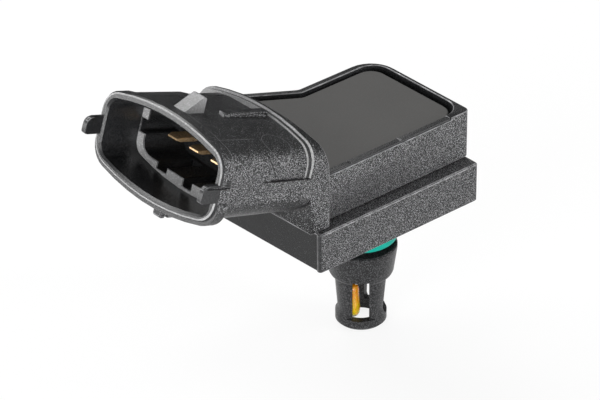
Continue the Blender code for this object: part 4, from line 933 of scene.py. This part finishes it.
# everything that stays a CAD node gets the finish of its own stuff
nodeFinishes = {
    "sealAdhesive": (("cover_seal", "joint_seal"), {
        "colour": (0.016, 0.016, 0.017), "light": (0.03, 0.03, 0.032), "grain": 0.4,
        "roughness": (0.50, 0.64)}),
    "leadTin": (("thermistor_lead_1", "thermistor_lead_2"), {
        "colour": (0.62, 0.61, 0.58), "light": (0.78, 0.77, 0.74), "grain": 0.3,
        "roughness": (0.25, 0.42), "metallic": 1.0}),
    "boardAlumina": (("circuit_board",), {
        "colour": (0.70, 0.69, 0.65), "light": (0.80, 0.79, 0.75), "grain": 0.3,
        "roughness": (0.45, 0.58)}),
    "pedestalGlass": (("chip_pedestal",), {
        "colour": (0.70, 0.75, 0.75), "light": (0.78, 0.83, 0.83), "grain": 0.2, "mottle": 0.1,
        "roughness": (0.08, 0.14)}),
    "dieSilicon": (("pressure_die",), {
        "colour": (0.10, 0.10, 0.13), "light": (0.17, 0.17, 0.21), "grain": 0.5,
        "roughness": (0.10, 0.18), "metallic": 0.6}),
    "damResin": (("gel_dam",), {
        "colour": (0.02, 0.02, 0.02), "light": (0.04, 0.04, 0.042), "grain": 0.3,
        "roughness": (0.42, 0.55)}),
    "chipEpoxy": (("signal_chip",), {
        "colour": (0.018, 0.018, 0.018), "light": (0.035, 0.035, 0.035), "grain": 0.12,
        "roughness": (0.50, 0.62), "bump": 0.4}),
    "capacitorCeramic": (("capacitor_1", "capacitor_2", "capacitor_3", "capacitor_4"), {
        "colour": (0.42, 0.30, 0.20), "light": (0.52, 0.40, 0.29), "grain": 0.25,
        "roughness": (0.38, 0.50)}),
    "ribbonAluminium": (("bond_ribbon_1", "bond_ribbon_2", "bond_ribbon_3", "bond_ribbon_4"), {
        "colour": (0.80, 0.80, 0.80), "light": (0.90, 0.90, 0.90), "grain": 0.2,
        "roughness": (0.22, 0.34), "metallic": 1.0}),
    "gelSilicone": (("protective_gel",), {
        "colour": (0.55, 0.56, 0.56), "light": (0.66, 0.67, 0.67), "grain": 0.9,
        "roughness": (0.08, 0.16), "coat": 0.4}),
}
for finishName, (nodes, changes) in nodeFinishes.items():
    finish = plainFinish(finishName, changes)
    for node in nodes:
        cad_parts[node].material_slots[0].material = finish
print("inner pieces finished")


# rays that see the stage itself and not just its light: from the camera, and by way of gloss or glass
def seenDirectly(tree):
    seen = addNode(tree, "ShaderNodeLightPath").outputs
    shiny = calc(tree, "MAXIMUM", seen["Is Glossy Ray"], seen["Is Transmission Ray"])
    return calc(tree, "MAXIMUM", seen["Is Camera Ray"], shiny)


def grey(tone):
    return tone, tone, tone, 1.0


def stagePanel(name, corners, material):
    mesh = bpy.data.meshes.new(name)
    mesh.from_pydata(corners, [], [(0, 1, 2, 3)])
    mesh.materials.append(material)
    panel = bpy.data.objects.new(name, mesh)
    scene.collection.objects.link(panel)
    return panel


# floor: lights the object as a matte grey, and looks white with a soft shadow
floorValues = {"drop": -25.6 * mm, "halfWidth": 0.9, "matte": 0.8, "shadowed": 0.16, "glow": 0.86}


def makeFloor(values):
    material = bpy.data.materials.new("paleFloor")
    material.use_nodes = True
    tree = material.node_tree
    tree.nodes.clear()
    direct = seenDirectly(tree)
    matte, shadowed = (addNode(tree, "ShaderNodeBsdfDiffuse") for layer in range(2))
    feed(tree, grey(values["matte"]), matte.inputs["Color"])
    feed(tree, grey(values["shadowed"]), shadowed.inputs["Color"])
    glow = addNode(tree, "ShaderNodeEmission")
    feed(tree, values["glow"], glow.inputs["Strength"])
    both = addNode(tree, "ShaderNodeAddShader")
    feed(tree, shadowed.outputs[0], both.inputs[0])
    feed(tree, glow.outputs[0], both.inputs[1])
    pick = addNode(tree, "ShaderNodeMixShader")
    for place, term in enumerate((direct, matte.outputs[0], both.outputs[0])):
        feed(tree, term, pick.inputs[place])
    feed(tree, pick.outputs[0], addNode(tree, "ShaderNodeOutputMaterial").inputs[0])
    half, drop = values["halfWidth"], values["drop"]
    stagePanel("studioFloor", [
        (-half, -half, drop), (half, -half, drop), (half, half, drop), (-half, half, drop)], material)


# black card low behind the right of the object: gloss alone sees it
cardValues = {
    "place": (0.095, 0.080), "turn": radians(40), "width": 0.44, "height": 0.135, "tone": 0.01,
    "roughness": 0.9,
}


def makeCard(values, drop):
    material = bpy.data.materials.new("blackCard")
    material.use_nodes = True
    shader = material.node_tree.nodes["Principled BSDF"]
    feedAll(material.node_tree, shader, {
        "Base Color": grey(values["tone"]), "Roughness": values["roughness"]})
    side = Vector((-sin(values["turn"]), cos(values["turn"]))) * values["width"] / 2
    x, y = values["place"]
    top = drop + values["height"]
    card = stagePanel("blackCard", [
        (x - side.x, y - side.y, drop), (x + side.x, y + side.y, drop),
        (x + side.x, y + side.y, top), (x - side.x, y - side.y, top)], material)
    card.visible_camera = False
    card.visible_shadow = False
    card.visible_diffuse = False


# world: white where it is seen, and a plain faint light
worldValues = {"tone": 1.0, "ambient": 0.20, "seen": 1.0}


def makeWorld(values):
    world = bpy.data.worlds.new("studioWorld")
    world.use_nodes = True
    tree = world.node_tree
    tree.nodes.clear()
    sky = addNode(tree, "ShaderNodeBackground")
    feed(tree, grey(values["tone"]), sky.inputs["Color"])
    strength = spread(tree, seenDirectly(tree), 0.0, 1.0, values["ambient"], values["seen"])
    feed(tree, strength, sky.inputs["Strength"])
    feed(tree, sky.outputs[0], addNode(tree, "ShaderNodeOutputWorld").inputs[0])
    scene.world = world


makeFloor(floorValues)
makeCard(cardValues, floorValues["drop"])
makeWorld(worldValues)


# lamps: a broad one low at the right front, a fill low at the left front, a small one for the upper edges,
# one from the left into the mouth, one behind it for the rim, and a long strip from behind
lampValues = {
    "key": {"place": (0.32, -0.67, 0.14), "size": (0.40, 0.30), "power": 2.2},
    "fill": {"place": (-0.43, -0.47, 0.03), "size": (0.20, 0.12), "power": 2.2},
    "edge": {"place": (0.42, -0.38, 0.47), "size": (0.16, 0.16), "power": 0.7},
    "left": {"place": (-0.62, -0.20, 0.28), "size": (0.30, 0.30), "power": 1.8},
    "rim": {"place": (-0.48, 0.40, 0.05), "size": (0.30, 0.14), "power": 0.8},
    "back": {"place": (0.02, 0.56, 0.60), "size": (0.90, 0.24), "power": 4.2},
}
lampAim = Vector((0.0, 0.0, 5.0 * mm))


def makeLamps(values, aim):
    for name, lamp in values.items():
        data = bpy.data.lights.new(name + "Lamp", "AREA")
        data.shape = "RECTANGLE"
        data.size, data.size_y = lamp["size"]
        data.energy = lamp["power"]
        made = bpy.data.objects.new(name + "Lamp", data)
        scene.collection.objects.link(made)
        made.location = lamp["place"]
        made.visible_camera = False
        made.rotation_euler = (aim - Vector(lamp["place"])).to_track_quat("-Z", "Y").to_euler()


makeLamps(lampValues, lampAim)
print("stage and lamps ready")
